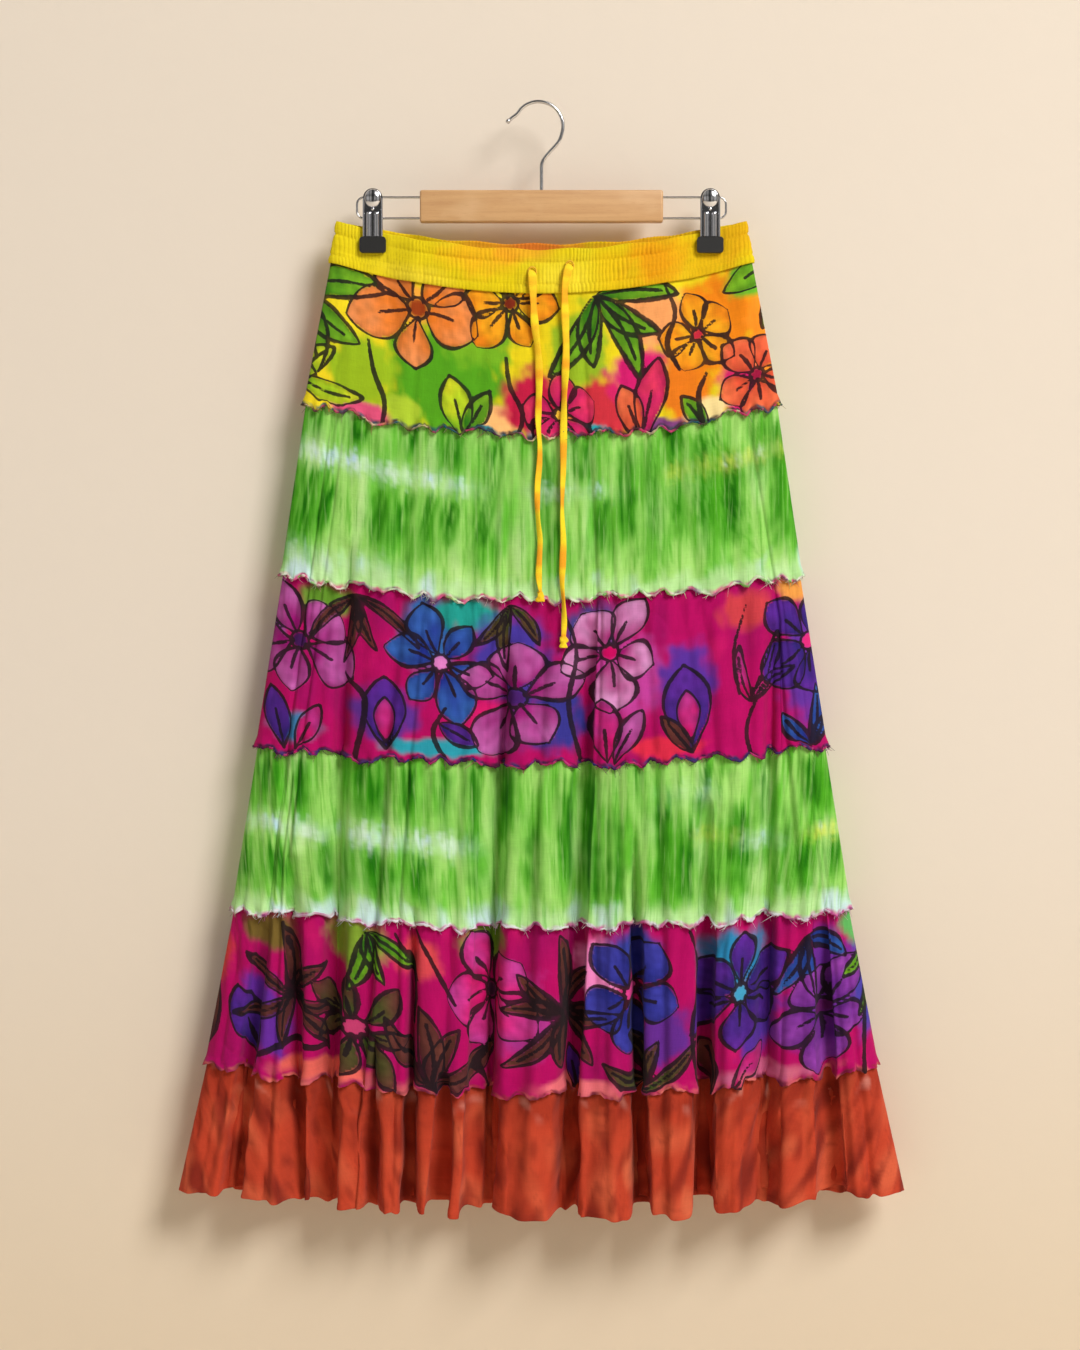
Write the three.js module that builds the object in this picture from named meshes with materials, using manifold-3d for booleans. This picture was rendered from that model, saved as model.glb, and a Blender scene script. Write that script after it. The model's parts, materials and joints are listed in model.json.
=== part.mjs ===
// A tiered maxi skirt, pinched at the waist by the two clips of a wooden hanger.
// Millimetres, +Z up. The front faces -Y, and +X is to the viewer's right.
// The origin is the inside top of the hook, where a rail or a nail carries the whole thing.
import * as THREE from "three";
import { mergeVertices } from "three/addons/utils/BufferGeometryUtils.js";
import Module from "manifold-3d";

const wasm = await Module();
wasm.setup();

// Cloth
const WALL = 1.5; // thickness of every cloth wall
const SEAM_GAP = 0.3; // between a front and a back where they meet at the side
const LAP = 8; // how far a tier's top is tucked under the edge above it
const LAP_LIFT = 2; // how far the upper piece stands out from the piece it laps
const LIP = 10; // height of the raw edge below the point where the lift is complete
const RUFFLE_OUT = 2.2; // how far the raw edge's waves stand out
const RUFFLE_RISE = 1.6; // how much the raw edge's height varies
const COLUMNS = 50; // steps across each front and each back

// The skirt's stations, from the waist down. drop is measured at the side edges, below the band's top corners.
// The sag is how much lower the middle hangs than the sides, and the depths are how far the cloth stands from Y 0.
const TOP_Z = -113;
const STATIONS = [
  { at: "band top", drop: 0, halfWidth: 196.5, frontDepth: 9, backDepth: 9, frontSag: 28, backSag: 20 },
  { at: "band bottom", drop: 40, halfWidth: 202, frontDepth: 10, backDepth: 10, frontSag: 31, backSag: 31 },
  { at: "yoke edge", drop: 176, halfWidth: 226, frontDepth: 13, backDepth: 12, frontSag: 31, backSag: 31 },
  { at: "second edge", drop: 340, halfWidth: 248, frontDepth: 21, backDepth: 15, frontSag: 24, backSag: 22 },
  { at: "third edge", drop: 504, halfWidth: 272, frontDepth: 30, backDepth: 18, frontSag: 17, backSag: 14 },
  { at: "fourth edge", drop: 659, halfWidth: 294.5, frontDepth: 38, backDepth: 20, frontSag: 18, backSag: 14 },
  { at: "fifth edge", drop: 810, halfWidth: 321, frontDepth: 46, backDepth: 22, frontSag: 26, backSag: 18 },
  { at: "hem", drop: 930, halfWidth: 348, frontDepth: 55, backDepth: 25, frontSag: 25, backSag: 16 },
];
const HEM_DROP = STATIONS[STATIONS.length - 1].drop;

// The hanging folds, left to right, one row for each valley between two ridges. xBand, xStart and xHem place the
// valley at the waist, at the drop where it starts, and at the hem. share is how much of the depth it takes at the
// hem, and width is how wide it is there.
const FRONT_VALLEYS = [
  { xBand: -184, start: 659, xStart: -266, xHem: -297, share: 0.35, width: 9 },
  { xBand: -164, start: 600, xStart: -236, xHem: -230, share: 0.4, width: 11 },
  { xBand: -136, start: 300, xStart: -184, xHem: -203, share: 0.68, width: 14 },
  { xBand: -100, start: 760, xStart: -157, xHem: -157, share: 0.3, width: 8 },
  { xBand: -77, start: 640, xStart: -121, xHem: -122, share: 0.44, width: 10 },
  { xBand: -54, start: 790, xStart: -92, xHem: -94, share: 0.26, width: 7 },
  { xBand: -24, start: 380, xStart: -33, xHem: -51, share: 0.7, width: 17 },
  { xBand: 28, start: 340, xStart: 46, xHem: 25, share: 0.62, width: 14 },
  { xBand: 62, start: 560, xStart: 87, xHem: 94, share: 0.4, width: 8 },
  { xBand: 100, start: 540, xStart: 158, xHem: 153, share: 0.5, width: 9 },
  { xBand: 148, start: 380, xStart: 221, xHem: 214, share: 0.68, width: 14 },
  { xBand: 188, start: 659, xStart: 268, xHem: 279, share: 0.36, width: 8 },
];
const BACK_VALLEYS = [
  { xBand: -180, start: 640, xStart: -262, xHem: -296, share: 0.32, width: 9 },
  { xBand: -150, start: 420, xStart: -208, xHem: -236, share: 0.5, width: 13 },
  { xBand: -112, start: 600, xStart: -160, xHem: -182, share: 0.36, width: 10 },
  { xBand: -76, start: 380, xStart: -104, xHem: -121, share: 0.55, width: 14 },
  { xBand: -40, start: 700, xStart: -58, xHem: -66, share: 0.34, width: 9 },
  { xBand: -6, start: 460, xStart: -8, xHem: -12, share: 0.52, width: 13 },
  { xBand: 30, start: 720, xStart: 46, xHem: 47, share: 0.3, width: 9 },
  { xBand: 66, start: 400, xStart: 94, xHem: 108, share: 0.55, width: 14 },
  { xBand: 104, start: 640, xStart: 152, xHem: 166, share: 0.38, width: 10 },
  { xBand: 142, start: 430, xStart: 200, xHem: 226, share: 0.5, width: 13 },
  { xBand: 176, start: 650, xStart: 260, xHem: 288, share: 0.32, width: 9 },
];
const VALLEY_GROWTH = 0.7; // a valley deepens fast below its start and slower towards the hem
const VALLEY_FLOOR = 0.2; // how round a valley's floor is, as a share of its width
const MOST_SHARE = 0.8;
const EDGE_POWER = 3; // how full the section is towards the side edges

// Waistband
const BAND_HEIGHT = 40;
const CHANNEL_SEAMS = [0.3, 0.8]; // where the band's three channels are stitched apart, as shares of its height
const CHANNEL_PUFF = 1.3;
const GATHER_HEIGHT = 0.7; // the elastic's gathers on the band, which are pressed flat under the clips

// Clip hanger
const CLIP_X = 161.7;
const CLIP_WIDTH = 18.4;
const CLIP_TOP_Z = -82.3;
const CLIP_STEP_Z = -107;
const CLIP_FOOT_Z = -128.5;
const CLIP_PLATE = 1.2;
const CLIP_PLATE_Y = 5; // the plates' inner faces
const CLIP_FLANGE_Y = 1.6;
const CLIP_FLANGE_TOP_Z = -90;
const CLIP_FLANGE_FOOT_Z = -116;
const FLUTE_RADIUS = 2;
const FLUTE_X = 3.7;
const SPRING_RADIUS = 4.5;
const SPRING_LENGTH = 14;
const SPRING_Z = -100.2;
const PAD_WIDTH = 25.3;
const PAD_HEIGHT = 15.2;
const PAD_TOP_Z = -128.8;
const PAD_INNER_Y = 2.05;
const PAD_DEPTH = 5.4;
const PAD_CORNER = 3;
const PINCH_REACH = 15; // half the width of cloth that a clip holds flat
const PINCH_RAMP = 26;
const PINCHED_Y = SEAM_GAP / 2 + WALL / 2;
const PINCH_FADE = { from: 44, to: 130 }; // the drops between which the pinch opens out
const BAR_LENGTH = 233.2;
const BAR_HEIGHT = 30.7;
const BAR_DEPTH = 13;
const BAR_TOP_Z = -83.7;
const BAR_CORNER = 2;
const WIRE_RADIUS = 1.1;
const WIRE_TOP_Z = -90.6;
const WIRE_FOOT_Z = -109.7;
const WIRE_END_X = 177;
const WIRE_ROOT_X = 22;
const WIRE_CORNER = 8;
const BORE_CLEARANCE = 0.35;
const HOOK_RADIUS = 1.75;
const HOOK_ARC_RADIUS = 23.55;
const HOOK_CENTRE = { x: -2.9, z: -21.6 };
const HOOK_ROOT_Z = -101;
const HOOK_TIP_BALL = 2.5;

// Drawstring
const CORD_WIDTH = 6.6;
const CORD_THICKNESS = 2.4;
const CORD_SIDES = 8;
const LEFT_CORD = [
  [-8.8, -13.6, -163],
  [-8.8, -16.8, -168],
  [-8.2, -17, -182],
  [-7.4, -16.4, -198],
  [-6.2, -16.2, -216],
  [-4, -16.4, -234],
  [-2.4, -16.9, -253],
  [-2.2, -17.5, -272],
  [-2.8, -18.2, -291],
  [-3, -19.2, -310],
  [-1.6, -19.4, -330],
  [-2, -19.8, -348],
  [-3.6, -20.6, -366],
  [-4, -21.6, -384],
  [-3.2, -22.8, -402],
  [-1.4, -23.9, -420],
  [-2, -25, -438],
  [-2.6, -26, -454],
  [-1, -27.2, -470],
];
const RIGHT_CORD = [
  [26.4, -13.4, -158],
  [24.6, -16.6, -164],
  [22.4, -16.9, -178],
  [22.4, -16.4, -196],
  [23, -16.3, -216],
  [23.6, -16.5, -238],
  [22.8, -17.1, -260],
  [21.8, -18, -282],
  [21.2, -18.9, -306],
  [21, -19.4, -330],
  [20.8, -20.1, -352],
  [20, -21.1, -374],
  [19.8, -22.4, -396],
  [20.8, -23.9, -420],
  [20.2, -25.4, -442],
  [19.6, -26.7, -460],
  [21, -28.1, -480],
  [21.6, -28.3, -498],
  [21, -28.4, -512],
];
const KNOT = { radius: 4, height: 12 };
const FLARE = { radius: 4.6, height: 10 };

const COLOURS = {
  band: { color: 0xf2c40f, roughness: 0.85, metalness: 0 },
  yoke: { color: 0x8fb02a, roughness: 0.85, metalness: 0 },
  green: { color: 0x86c85a, roughness: 0.85, metalness: 0 },
  berry: { color: 0xb0176a, roughness: 0.85, metalness: 0 },
  rust: { color: 0xbd4a2c, roughness: 0.85, metalness: 0 },
  cord: { color: 0xf0bd14, roughness: 0.8, metalness: 0 },
  chrome: { color: 0xd8d8da, roughness: 0.15, metalness: 1 },
  wood: { color: 0xcf9c63, roughness: 0.5, metalness: 0 },
  rubber: { color: 0x161616, roughness: 0.6, metalness: 0 },
};

const group = new THREE.Group();

function add(name, geometry, finish) {
  const mesh = new THREE.Mesh(geometry, new THREE.MeshStandardMaterial(COLOURS[finish]));
  mesh.name = name;
  group.add(mesh);
  return mesh;
}

// One measure of the stations at any drop.
function measure(key, drop) {
  const below = STATIONS.findIndex((station) => station.drop >= drop);
  const high = STATIONS[Math.max(1, below < 0 ? STATIONS.length - 1 : below)];
  const low = STATIONS[STATIONS.indexOf(high) - 1];
  const along = (drop - low.drop) / (high.drop - low.drop);
  return THREE.MathUtils.lerp(low[key], high[key], along);
}

function valleyX(valley, drop) {
  return drop < valley.start
    ? THREE.MathUtils.lerp(valley.xBand, valley.xStart, drop / valley.start)
    : THREE.MathUtils.lerp(valley.xStart, valley.xHem, (drop - valley.start) / (HEM_DROP - valley.start));
}

// How much of the depth the valleys take away at x.
function valleyShare(valleys, x, drop) {
  let share = 0;
  for (const valley of valleys) {
    const grown = Math.max(0, (drop - valley.start) / (HEM_DROP - valley.start));
    const width = valley.width * (0.5 + 0.5 * grown);
    const away = (x - valleyX(valley, drop)) / width;
    const profile = Math.exp(VALLEY_FLOOR - Math.hypot(away, VALLEY_FLOOR));
    share += valley.share * grown ** VALLEY_GROWTH * profile;
  }
  return Math.min(MOST_SHARE, share);
}

// 1 where a clip holds the cloth flat, and 0 away from it.
function pinch(x, drop) {
  const across = 1 - THREE.MathUtils.smoothstep(Math.abs(Math.abs(x) - CLIP_X), PINCH_REACH, PINCH_REACH + PINCH_RAMP);
  return across * (1 - THREE.MathUtils.smoothstep(drop, PINCH_FADE.from, PINCH_FADE.to));
}

// How far the cloth's middle stands from Y 0 at x, on one side of the skirt.
function depthAt(side, x, drop) {
  const reach = Math.min(1, Math.abs(x) / measure("halfWidth", drop));
  const full = measure(side.depth, drop) * Math.sqrt(1 - reach ** EDGE_POWER);
  const folded = full * (1 - valleyShare(side.valleys, x, drop));
  return SEAM_GAP / 2 + THREE.MathUtils.lerp(folded, Math.min(folded, PINCHED_Y - SEAM_GAP / 2), pinch(x, drop));
}

function heightAt(side, x, drop) {
  const reach = Math.min(1, Math.abs(x) / measure("halfWidth", drop));
  return TOP_Z - drop - measure(side.sag, drop) * (1 - reach * reach);
}

const FRONT = { name: "front", sign: -1, depth: "frontDepth", sag: "frontSag", valleys: FRONT_VALLEYS };
const BACK = { name: "back", sign: 1, depth: "backDepth", sag: "backSag", valleys: BACK_VALLEYS };

// A section of one side as a fine line, with the length along it.
const FINE_STEPS = 1200;
function fineLine(side, drop) {
  const half = measure("halfWidth", drop);
  const line = [];
  let long = 0;
  for (let i = 0; i <= FINE_STEPS; i += 1) {
    const x = half * Math.sin((Math.PI / 2) * ((2 * i) / FINE_STEPS - 1));
    const y = side.sign * depthAt(side, x, drop);
    if (i) long += Math.hypot(x - line[i - 1].x, y - line[i - 1].y);
    line.push({ x, y, long });
  }
  return line;
}

function pointAlong(line, long) {
  let i = line.findIndex((point) => point.long >= long);
  if (i < 0) i = line.length - 1;
  if (i < 1) i = 1;
  const a = line[i - 1];
  const b = line[i];
  const part = (long - a.long) / (b.long - a.long);
  return { x: THREE.MathUtils.lerp(a.x, b.x, part), y: THREE.MathUtils.lerp(a.y, b.y, part) };
}

function longAtX(line, x) {
  const i = Math.max(1, line.findIndex((point) => point.x >= x));
  const part = (x - line[i - 1].x) / (line[i].x - line[i - 1].x);
  return THREE.MathUtils.lerp(line[i - 1].long, line[i].long, part);
}

// The steps between one valley and the next, shared out by the length of cloth between them at the hem.
function stepsBetweenValleys(side) {
  const line = fineLine(side, HEM_DROP);
  const stops = [0, ...side.valleys.map((v) => longAtX(line, v.xHem)), line[FINE_STEPS].long];
  const spans = stops.slice(1).map((stop, i) => stop - stops[i]);
  const steps = spans.map((span) => Math.max(3, Math.round((COLUMNS * span) / line[FINE_STEPS].long)));
  const spare = COLUMNS - steps.reduce((a, b) => a + b);
  for (let i = 0; i < Math.abs(spare); i += 1) {
    const most = steps.indexOf(Math.max(...steps));
    steps[most] += Math.sign(spare);
  }
  return steps;
}
FRONT.steps = stepsBetweenValleys(FRONT);
BACK.steps = stepsBetweenValleys(BACK);

// A section of one side as columns that follow the folds, each with the outward direction there.
const NORMAL_REACH = 1.2;
function section(side, drop, finer = 1) {
  const line = fineLine(side, drop);
  const total = line[FINE_STEPS].long;
  const stops = [0, ...side.valleys.map((v) => longAtX(line, valleyX(v, drop))), total];
  const longs = [0];
  side.steps.forEach((steps, i) => {
    for (let j = 1; j <= steps * finer; j += 1) {
      longs.push(THREE.MathUtils.lerp(stops[i], stops[i + 1], j / (steps * finer)));
    }
  });
  return longs.map((long, i) => {
    const { x, y } = pointAlong(line, long);
    const before = pointAlong(line, Math.max(0, long - NORMAL_REACH));
    const after = pointAlong(line, Math.min(total, long + NORMAL_REACH));
    const out = new THREE.Vector3(after.y - before.y, before.x - after.x, 0).multiplyScalar(-side.sign);
    // The side edges face straight out to the side, so that the front and the back never cross there.
    if (i === 0 || i === longs.length - 1) out.set(Math.sign(x), 0, 0);
    return { middle: new THREE.Vector3(x, y, heightAt(side, x, drop)), out: out.normalize() };
  });
}

// Faces over a grid of points, as triangles of points. rows run down the cloth and columns across it.
function gridFaces(grid, faces, turned) {
  for (let r = 0; r + 1 < grid.length; r += 1) {
    for (let c = 0; c + 1 < grid[r].length; c += 1) {
      const [a, b, d, e] = [grid[r][c], grid[r][c + 1], grid[r + 1][c + 1], grid[r + 1][c]];
      faces.push(...(turned ? [a, b, d, a, d, e] : [a, d, b, a, e, d]));
    }
  }
}

// A strip of faces between two lines of points that start and end together. The longer line has a whole number of
// steps for each step of the shorter one.
function rimFaces(many, few, faces, turned) {
  const ratio = (many.length - 1) / (few.length - 1);
  for (let i = 0; i + 1 < few.length; i += 1) {
    const middle = i * ratio + Math.ceil(ratio / 2);
    for (let j = i * ratio; j < (i + 1) * ratio; j += 1) {
      const near = j < middle ? few[i] : few[i + 1];
      faces.push(...(turned ? [many[j], near, many[j + 1]] : [many[j], many[j + 1], near]));
    }
    faces.push(...(turned ? [many[middle], few[i], few[i + 1]] : [many[middle], few[i + 1], few[i]]));
  }
}

function geometryOf(faces) {
  return new THREE.BufferGeometry().setFromPoints(faces);
}

// A closed wall between an outer and an inner grid.
function wallGeometry(outer, inner, turned) {
  const faces = [];
  const last = outer.length - 1;
  const innerLast = inner.length - 1;
  const edge = (grid, atEnd) => grid.map((row) => row[atEnd ? row.length - 1 : 0]);
  gridFaces(outer, faces, turned);
  gridFaces(inner, faces, !turned);
  rimFaces(outer[0], inner[0], faces, turned);
  rimFaces(outer[last], inner[innerLast], faces, !turned);
  rimFaces(edge(outer, false), edge(inner, false), faces, !turned);
  rimFaces(edge(outer, true), edge(inner, true), faces, turned);
  return geometryOf(faces);
}

// A row of cloth: its outer and inner points at one drop, lifted off the skirt's surface.
function clothRow(side, drop, lift, finer, outerExtra = () => 0, rise = () => 0) {
  const columns = section(side, drop, finer);
  const shifted = (offset, extra) =>
    columns.map(({ middle, out }, i) => {
      const point = middle.clone().addScaledVector(out, lift + offset + extra(i, middle.x));
      point.z += rise(i);
      return point;
    });
  return { outer: shifted(WALL / 2, outerExtra), inner: shifted(-WALL / 2, extraOfInner(outerExtra)) };
}

// The inner face follows the ruffle of the outer one, but never its gathers.
function extraOfInner(outerExtra) {
  return outerExtra.followsInside ? outerExtra : () => 0;
}

// The raw edge's small waves, on every other column and none at the side seams.
function ruffle(i) {
  return i % 2 && i < COLUMNS ? RUFFLE_OUT : 0;
}
ruffle.followsInside = true;

function ruffleRise(i) {
  return i % 4 === 1 ? RUFFLE_RISE : 0;
}

function tier(name, side, topDrop, edgeDrop, lapped) {
  const full = lapped ? LAP_LIFT : 0;
  const rows = [
    clothRow(side, topDrop - LAP, 0, 1),
    clothRow(side, topDrop, 0, 1),
    clothRow(side, edgeDrop - LIP, full, 1),
    lapped ? clothRow(side, edgeDrop, full, 1, ruffle, ruffleRise) : clothRow(side, edgeDrop, 0, 1),
  ];
  return wallGeometry(rows.map((row) => row.outer), rows.map((row) => row.inner), side.sign > 0);
}

// The band: three puffed channels, gathered by elastic on the outside and plain inside.
function waistband(side) {
  const [upper, lower] = CHANNEL_SEAMS.map((share) => share * BAND_HEIGHT);
  const levels = [
    { drop: 0, puff: 0, lift: 0 },
    { drop: upper / 2, puff: 0.5 * CHANNEL_PUFF, lift: 0 },
    { drop: upper, puff: 0, lift: 0 },
    { drop: (upper + lower) / 2, puff: CHANNEL_PUFF, lift: 0 },
    { drop: lower, puff: 0, lift: LAP_LIFT },
    { drop: BAND_HEIGHT, puff: 0.3, lift: LAP_LIFT },
  ];
  const outer = levels.map(({ drop, puff, lift }) => {
    const gathered = (i, x) => (puff + (i % 2 ? GATHER_HEIGHT : 0)) * (1 - pinch(x, 0));
    return clothRow(side, drop, lift, 2, gathered).outer;
  });
  const inner = levels.map(({ drop, lift }) => clothRow(side, drop, lift, 1).inner);
  return wallGeometry(outer, inner, side.sign > 0);
}

for (const side of [FRONT, BACK]) {
  add(`waistband_${side.name}`, waistband(side), "band");
}
const TIERS = [
  { name: "yoke", top: 1, finish: "yoke" },
  { name: "tier_2", top: 2, finish: "green" },
  { name: "tier_3", top: 3, finish: "berry" },
  { name: "tier_4", top: 4, finish: "green" },
  { name: "tier_5", top: 5, finish: "berry" },
  { name: "hem_flounce", top: 6, finish: "rust" },
];
for (const { name, top, finish } of TIERS) {
  for (const side of [FRONT, BACK]) {
    const lapped = name !== "hem_flounce";
    add(`${name}_${side.name}`, tier(name, side, STATIONS[top].drop, STATIONS[top + 1].drop, lapped), finish);
  }
}

// Joins and cuts of closed geometries.
function solidOf(geometry) {
  const bare = geometry.index ? geometry.toNonIndexed() : geometry.clone();
  bare.deleteAttribute("normal");
  bare.deleteAttribute("uv");
  const merged = mergeVertices(bare, 1e-3);
  return new wasm.Manifold(
    new wasm.Mesh({
      numProp: 3,
      vertProperties: merged.attributes.position.array,
      triVerts: new Uint32Array(merged.index.array),
    }),
  );
}

function geometryOfSolid(solid) {
  const mesh = solid.getMesh();
  return new THREE.BufferGeometry()
    .setAttribute("position", new THREE.BufferAttribute(new Float32Array(mesh.vertProperties), 3))
    .setIndex(new THREE.BufferAttribute(new Uint32Array(mesh.triVerts), 1));
}

// A round wire along a line of points, closed at both ends.
function wireGeometry(points, radius, sides, steps) {
  const circle = new THREE.Shape();
  for (let i = 0; i < sides; i += 1) {
    const turn = (2 * Math.PI * i) / sides;
    const [x, y] = [radius * Math.cos(turn), radius * Math.sin(turn)];
    if (i) circle.lineTo(x, y);
    else circle.moveTo(x, y);
  }
  circle.closePath();
  const path = new THREE.CatmullRomCurve3(points, false, "centripetal");
  return new THREE.ExtrudeGeometry(circle, { steps, extrudePath: path, curveSegments: 1, bevelEnabled: false });
}

function hook() {
  const { x: cx, z: cz } = HOOK_CENTRE;
  const points = [new THREE.Vector3(-31.9, 0, -16.9), new THREE.Vector3(-27.6, 0, -13.2)];
  for (let degrees = 150; degrees >= -15; degrees -= 15) {
    const turn = THREE.MathUtils.degToRad(degrees);
    points.push(
      new THREE.Vector3(cx + HOOK_ARC_RADIUS * Math.cos(turn), 0, cz + HOOK_ARC_RADIUS * Math.sin(turn)),
    );
  }
  const shank = [
    [17, -35.6],
    [12.5, -41.4],
    [7, -47.4],
    [2.2, -53.4],
    [0.2, -58.5],
    [0, -66],
    [0, -84],
    [0, HOOK_ROOT_Z],
  ];
  points.push(...shank.map(([x, z]) => new THREE.Vector3(x, 0, z)));
  const ball = new THREE.SphereGeometry(HOOK_TIP_BALL, 10, 7).translate(points[0].x, 0, points[0].z);
  return geometryOfSolid(solidOf(wireGeometry(points, HOOK_RADIUS, 8, 36)).add(solidOf(ball)));
}

// A rounded rectangle about the middle.
function roundedShape(width, height, corner) {
  const [w, h] = [width / 2, height / 2];
  const shape = new THREE.Shape();
  shape.moveTo(-w + corner, -h);
  shape.lineTo(w - corner, -h).absarc(w - corner, -h + corner, corner, -Math.PI / 2, 0);
  shape.lineTo(w, h - corner).absarc(w - corner, h - corner, corner, 0, Math.PI / 2);
  shape.lineTo(-w + corner, h).absarc(-w + corner, h - corner, corner, Math.PI / 2, Math.PI);
  shape.lineTo(-w, -h + corner).absarc(-w + corner, -h + corner, corner, Math.PI, 1.5 * Math.PI);
  return shape;
}

function rod(radius, length, sides) {
  return new THREE.CylinderGeometry(radius, radius, length, sides);
}

// The wooden bar, bored from the top for the hook and from each end for the sliding wires.
function bar() {
  const block = new THREE.ExtrudeGeometry(roundedShape(BAR_DEPTH, BAR_HEIGHT, BAR_CORNER), {
    depth: BAR_LENGTH,
    bevelEnabled: false,
    curveSegments: 3,
  });
  block.translate(0, 0, -BAR_LENGTH / 2).rotateY(Math.PI / 2).rotateX(Math.PI / 2);
  block.translate(0, 0, BAR_TOP_Z - BAR_HEIGHT / 2);
  let solid = solidOf(block);
  const hookBore = rod(HOOK_RADIUS + BORE_CLEARANCE, 2 * (BAR_TOP_Z - HOOK_ROOT_Z + BORE_CLEARANCE), 12);
  solid = solid.subtract(solidOf(hookBore.rotateX(Math.PI / 2).translate(0, 0, BAR_TOP_Z)));
  const boreLength = 2 * (BAR_LENGTH / 2 - WIRE_ROOT_X + BORE_CLEARANCE);
  for (const x of [-BAR_LENGTH / 2, BAR_LENGTH / 2]) {
    for (const z of [WIRE_TOP_Z, WIRE_FOOT_Z]) {
      const bore = rod(WIRE_RADIUS + BORE_CLEARANCE, boreLength, 10).rotateZ(Math.PI / 2).translate(x, 0, z);
      solid = solid.subtract(solidOf(bore));
    }
  }
  return geometryOfSolid(solid);
}

// One U-shaped wire, with both its ends in the bar. A clip slides along it.
function slideWire(direction) {
  const corner = (cx, cz, from) =>
    [0, 30, 60, 90].map((step) => {
      const turn = THREE.MathUtils.degToRad(from - step);
      return [cx + WIRE_CORNER * Math.cos(turn), cz + WIRE_CORNER * Math.sin(turn)];
    });
  const bendX = WIRE_END_X - WIRE_CORNER;
  const route = [
    [WIRE_ROOT_X, WIRE_TOP_Z],
    [(WIRE_ROOT_X + bendX) / 2, WIRE_TOP_Z],
    ...corner(bendX, WIRE_TOP_Z - WIRE_CORNER, 90),
    ...corner(bendX, WIRE_FOOT_Z + WIRE_CORNER, 0),
    [(WIRE_ROOT_X + bendX) / 2, WIRE_FOOT_Z],
    [WIRE_ROOT_X, WIRE_FOOT_Z],
  ];
  const points = route.map(([x, z]) => new THREE.Vector3(direction * x, 0, z));
  return wireGeometry(points, WIRE_RADIUS, 8, 30);
}

// A shape drawn in X and Z, made solid between two distances from Y 0 on one side of the hanger.
function platedShape(shape, near, far, sign, curveSegments) {
  const plate = new THREE.ExtrudeGeometry(shape, { depth: far - near, bevelEnabled: false, curveSegments });
  plate.rotateX(Math.PI / 2);
  return plate.translate(0, sign < 0 ? -near : far, 0);
}

function block(width, height, near, far, x, topZ, sign) {
  const box = new THREE.BoxGeometry(width, far - near, height);
  return box.translate(x, (sign * (near + far)) / 2, topZ - height / 2);
}

// One leaf of a clip: a plate with a round thumb end, two flanges over the wires, and two flutes.
function clipLeaf(sign) {
  const half = CLIP_WIDTH / 2;
  const outline = new THREE.Shape();
  outline.moveTo(-half, CLIP_FOOT_Z);
  outline.lineTo(half, CLIP_FOOT_Z);
  outline.lineTo(half, CLIP_TOP_Z - half);
  outline.absarc(0, CLIP_TOP_Z - half, half, 0, Math.PI);
  const farY = CLIP_PLATE_Y + CLIP_PLATE;
  let leaf = solidOf(platedShape(outline, CLIP_PLATE_Y, farY, sign, 8));
  for (const end of [-1, 1]) {
    const x = end * (half - CLIP_PLATE / 2);
    const height = CLIP_FLANGE_TOP_Z - CLIP_FLANGE_FOOT_Z;
    const flange = block(CLIP_PLATE, height, CLIP_FLANGE_Y, farY - 0.2, x, CLIP_FLANGE_TOP_Z, sign);
    leaf = leaf.add(solidOf(flange));
    const flute = rod(FLUTE_RADIUS, CLIP_STEP_Z - CLIP_FOOT_Z, 8).rotateX(Math.PI / 2);
    flute.translate(end * FLUTE_X, sign * farY, (CLIP_STEP_Z + CLIP_FOOT_Z) / 2);
    leaf = leaf.add(solidOf(flute));
  }
  return geometryOfSolid(leaf);
}

function clipPad(sign) {
  const shape = roundedShape(PAD_WIDTH, PAD_HEIGHT, PAD_CORNER);
  return platedShape(shape, PAD_INNER_Y, PAD_INNER_Y + PAD_DEPTH, sign, 3).translate(0, 0, PAD_TOP_Z - PAD_HEIGHT / 2);
}

function clipSpring() {
  return rod(SPRING_RADIUS, SPRING_LENGTH, 12).rotateZ(Math.PI / 2).translate(0, 0, SPRING_Z);
}

add("hanger_hook", hook(), "chrome");
add("hanger_bar", bar(), "wood");
for (const { end, direction } of [
  { end: "left", direction: -1 },
  { end: "right", direction: 1 },
]) {
  const x = direction * CLIP_X;
  add(`slide_wire_${end}`, slideWire(direction), "chrome");
  add(`clip_${end}_front_leaf`, clipLeaf(-1).translate(x, 0, 0), "chrome");
  add(`clip_${end}_back_leaf`, clipLeaf(1).translate(x, 0, 0), "chrome");
  add(`clip_${end}_spring`, clipSpring().translate(x, 0, 0), "chrome");
  add(`clip_${end}_front_pad`, clipPad(-1).translate(x, 0, 0), "rubber");
  add(`clip_${end}_back_pad`, clipPad(1).translate(x, 0, 0), "rubber");
}

// A flat tie that hangs free from the band, in front of the skirt.
function tie(route) {
  const oval = new THREE.Shape();
  for (let i = 0; i < CORD_SIDES; i += 1) {
    const turn = (2 * Math.PI * (i + 0.5)) / CORD_SIDES;
    const [x, y] = [(CORD_WIDTH / 2) * Math.cos(turn), (CORD_THICKNESS / 2) * Math.sin(turn)];
    if (i) oval.lineTo(x, y);
    else oval.moveTo(x, y);
  }
  oval.closePath();
  const path = new THREE.CatmullRomCurve3(route.map((point) => new THREE.Vector3(...point)));
  return new THREE.ExtrudeGeometry(oval, { steps: 24, extrudePath: path, curveSegments: 1, bevelEnabled: false });
}

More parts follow.
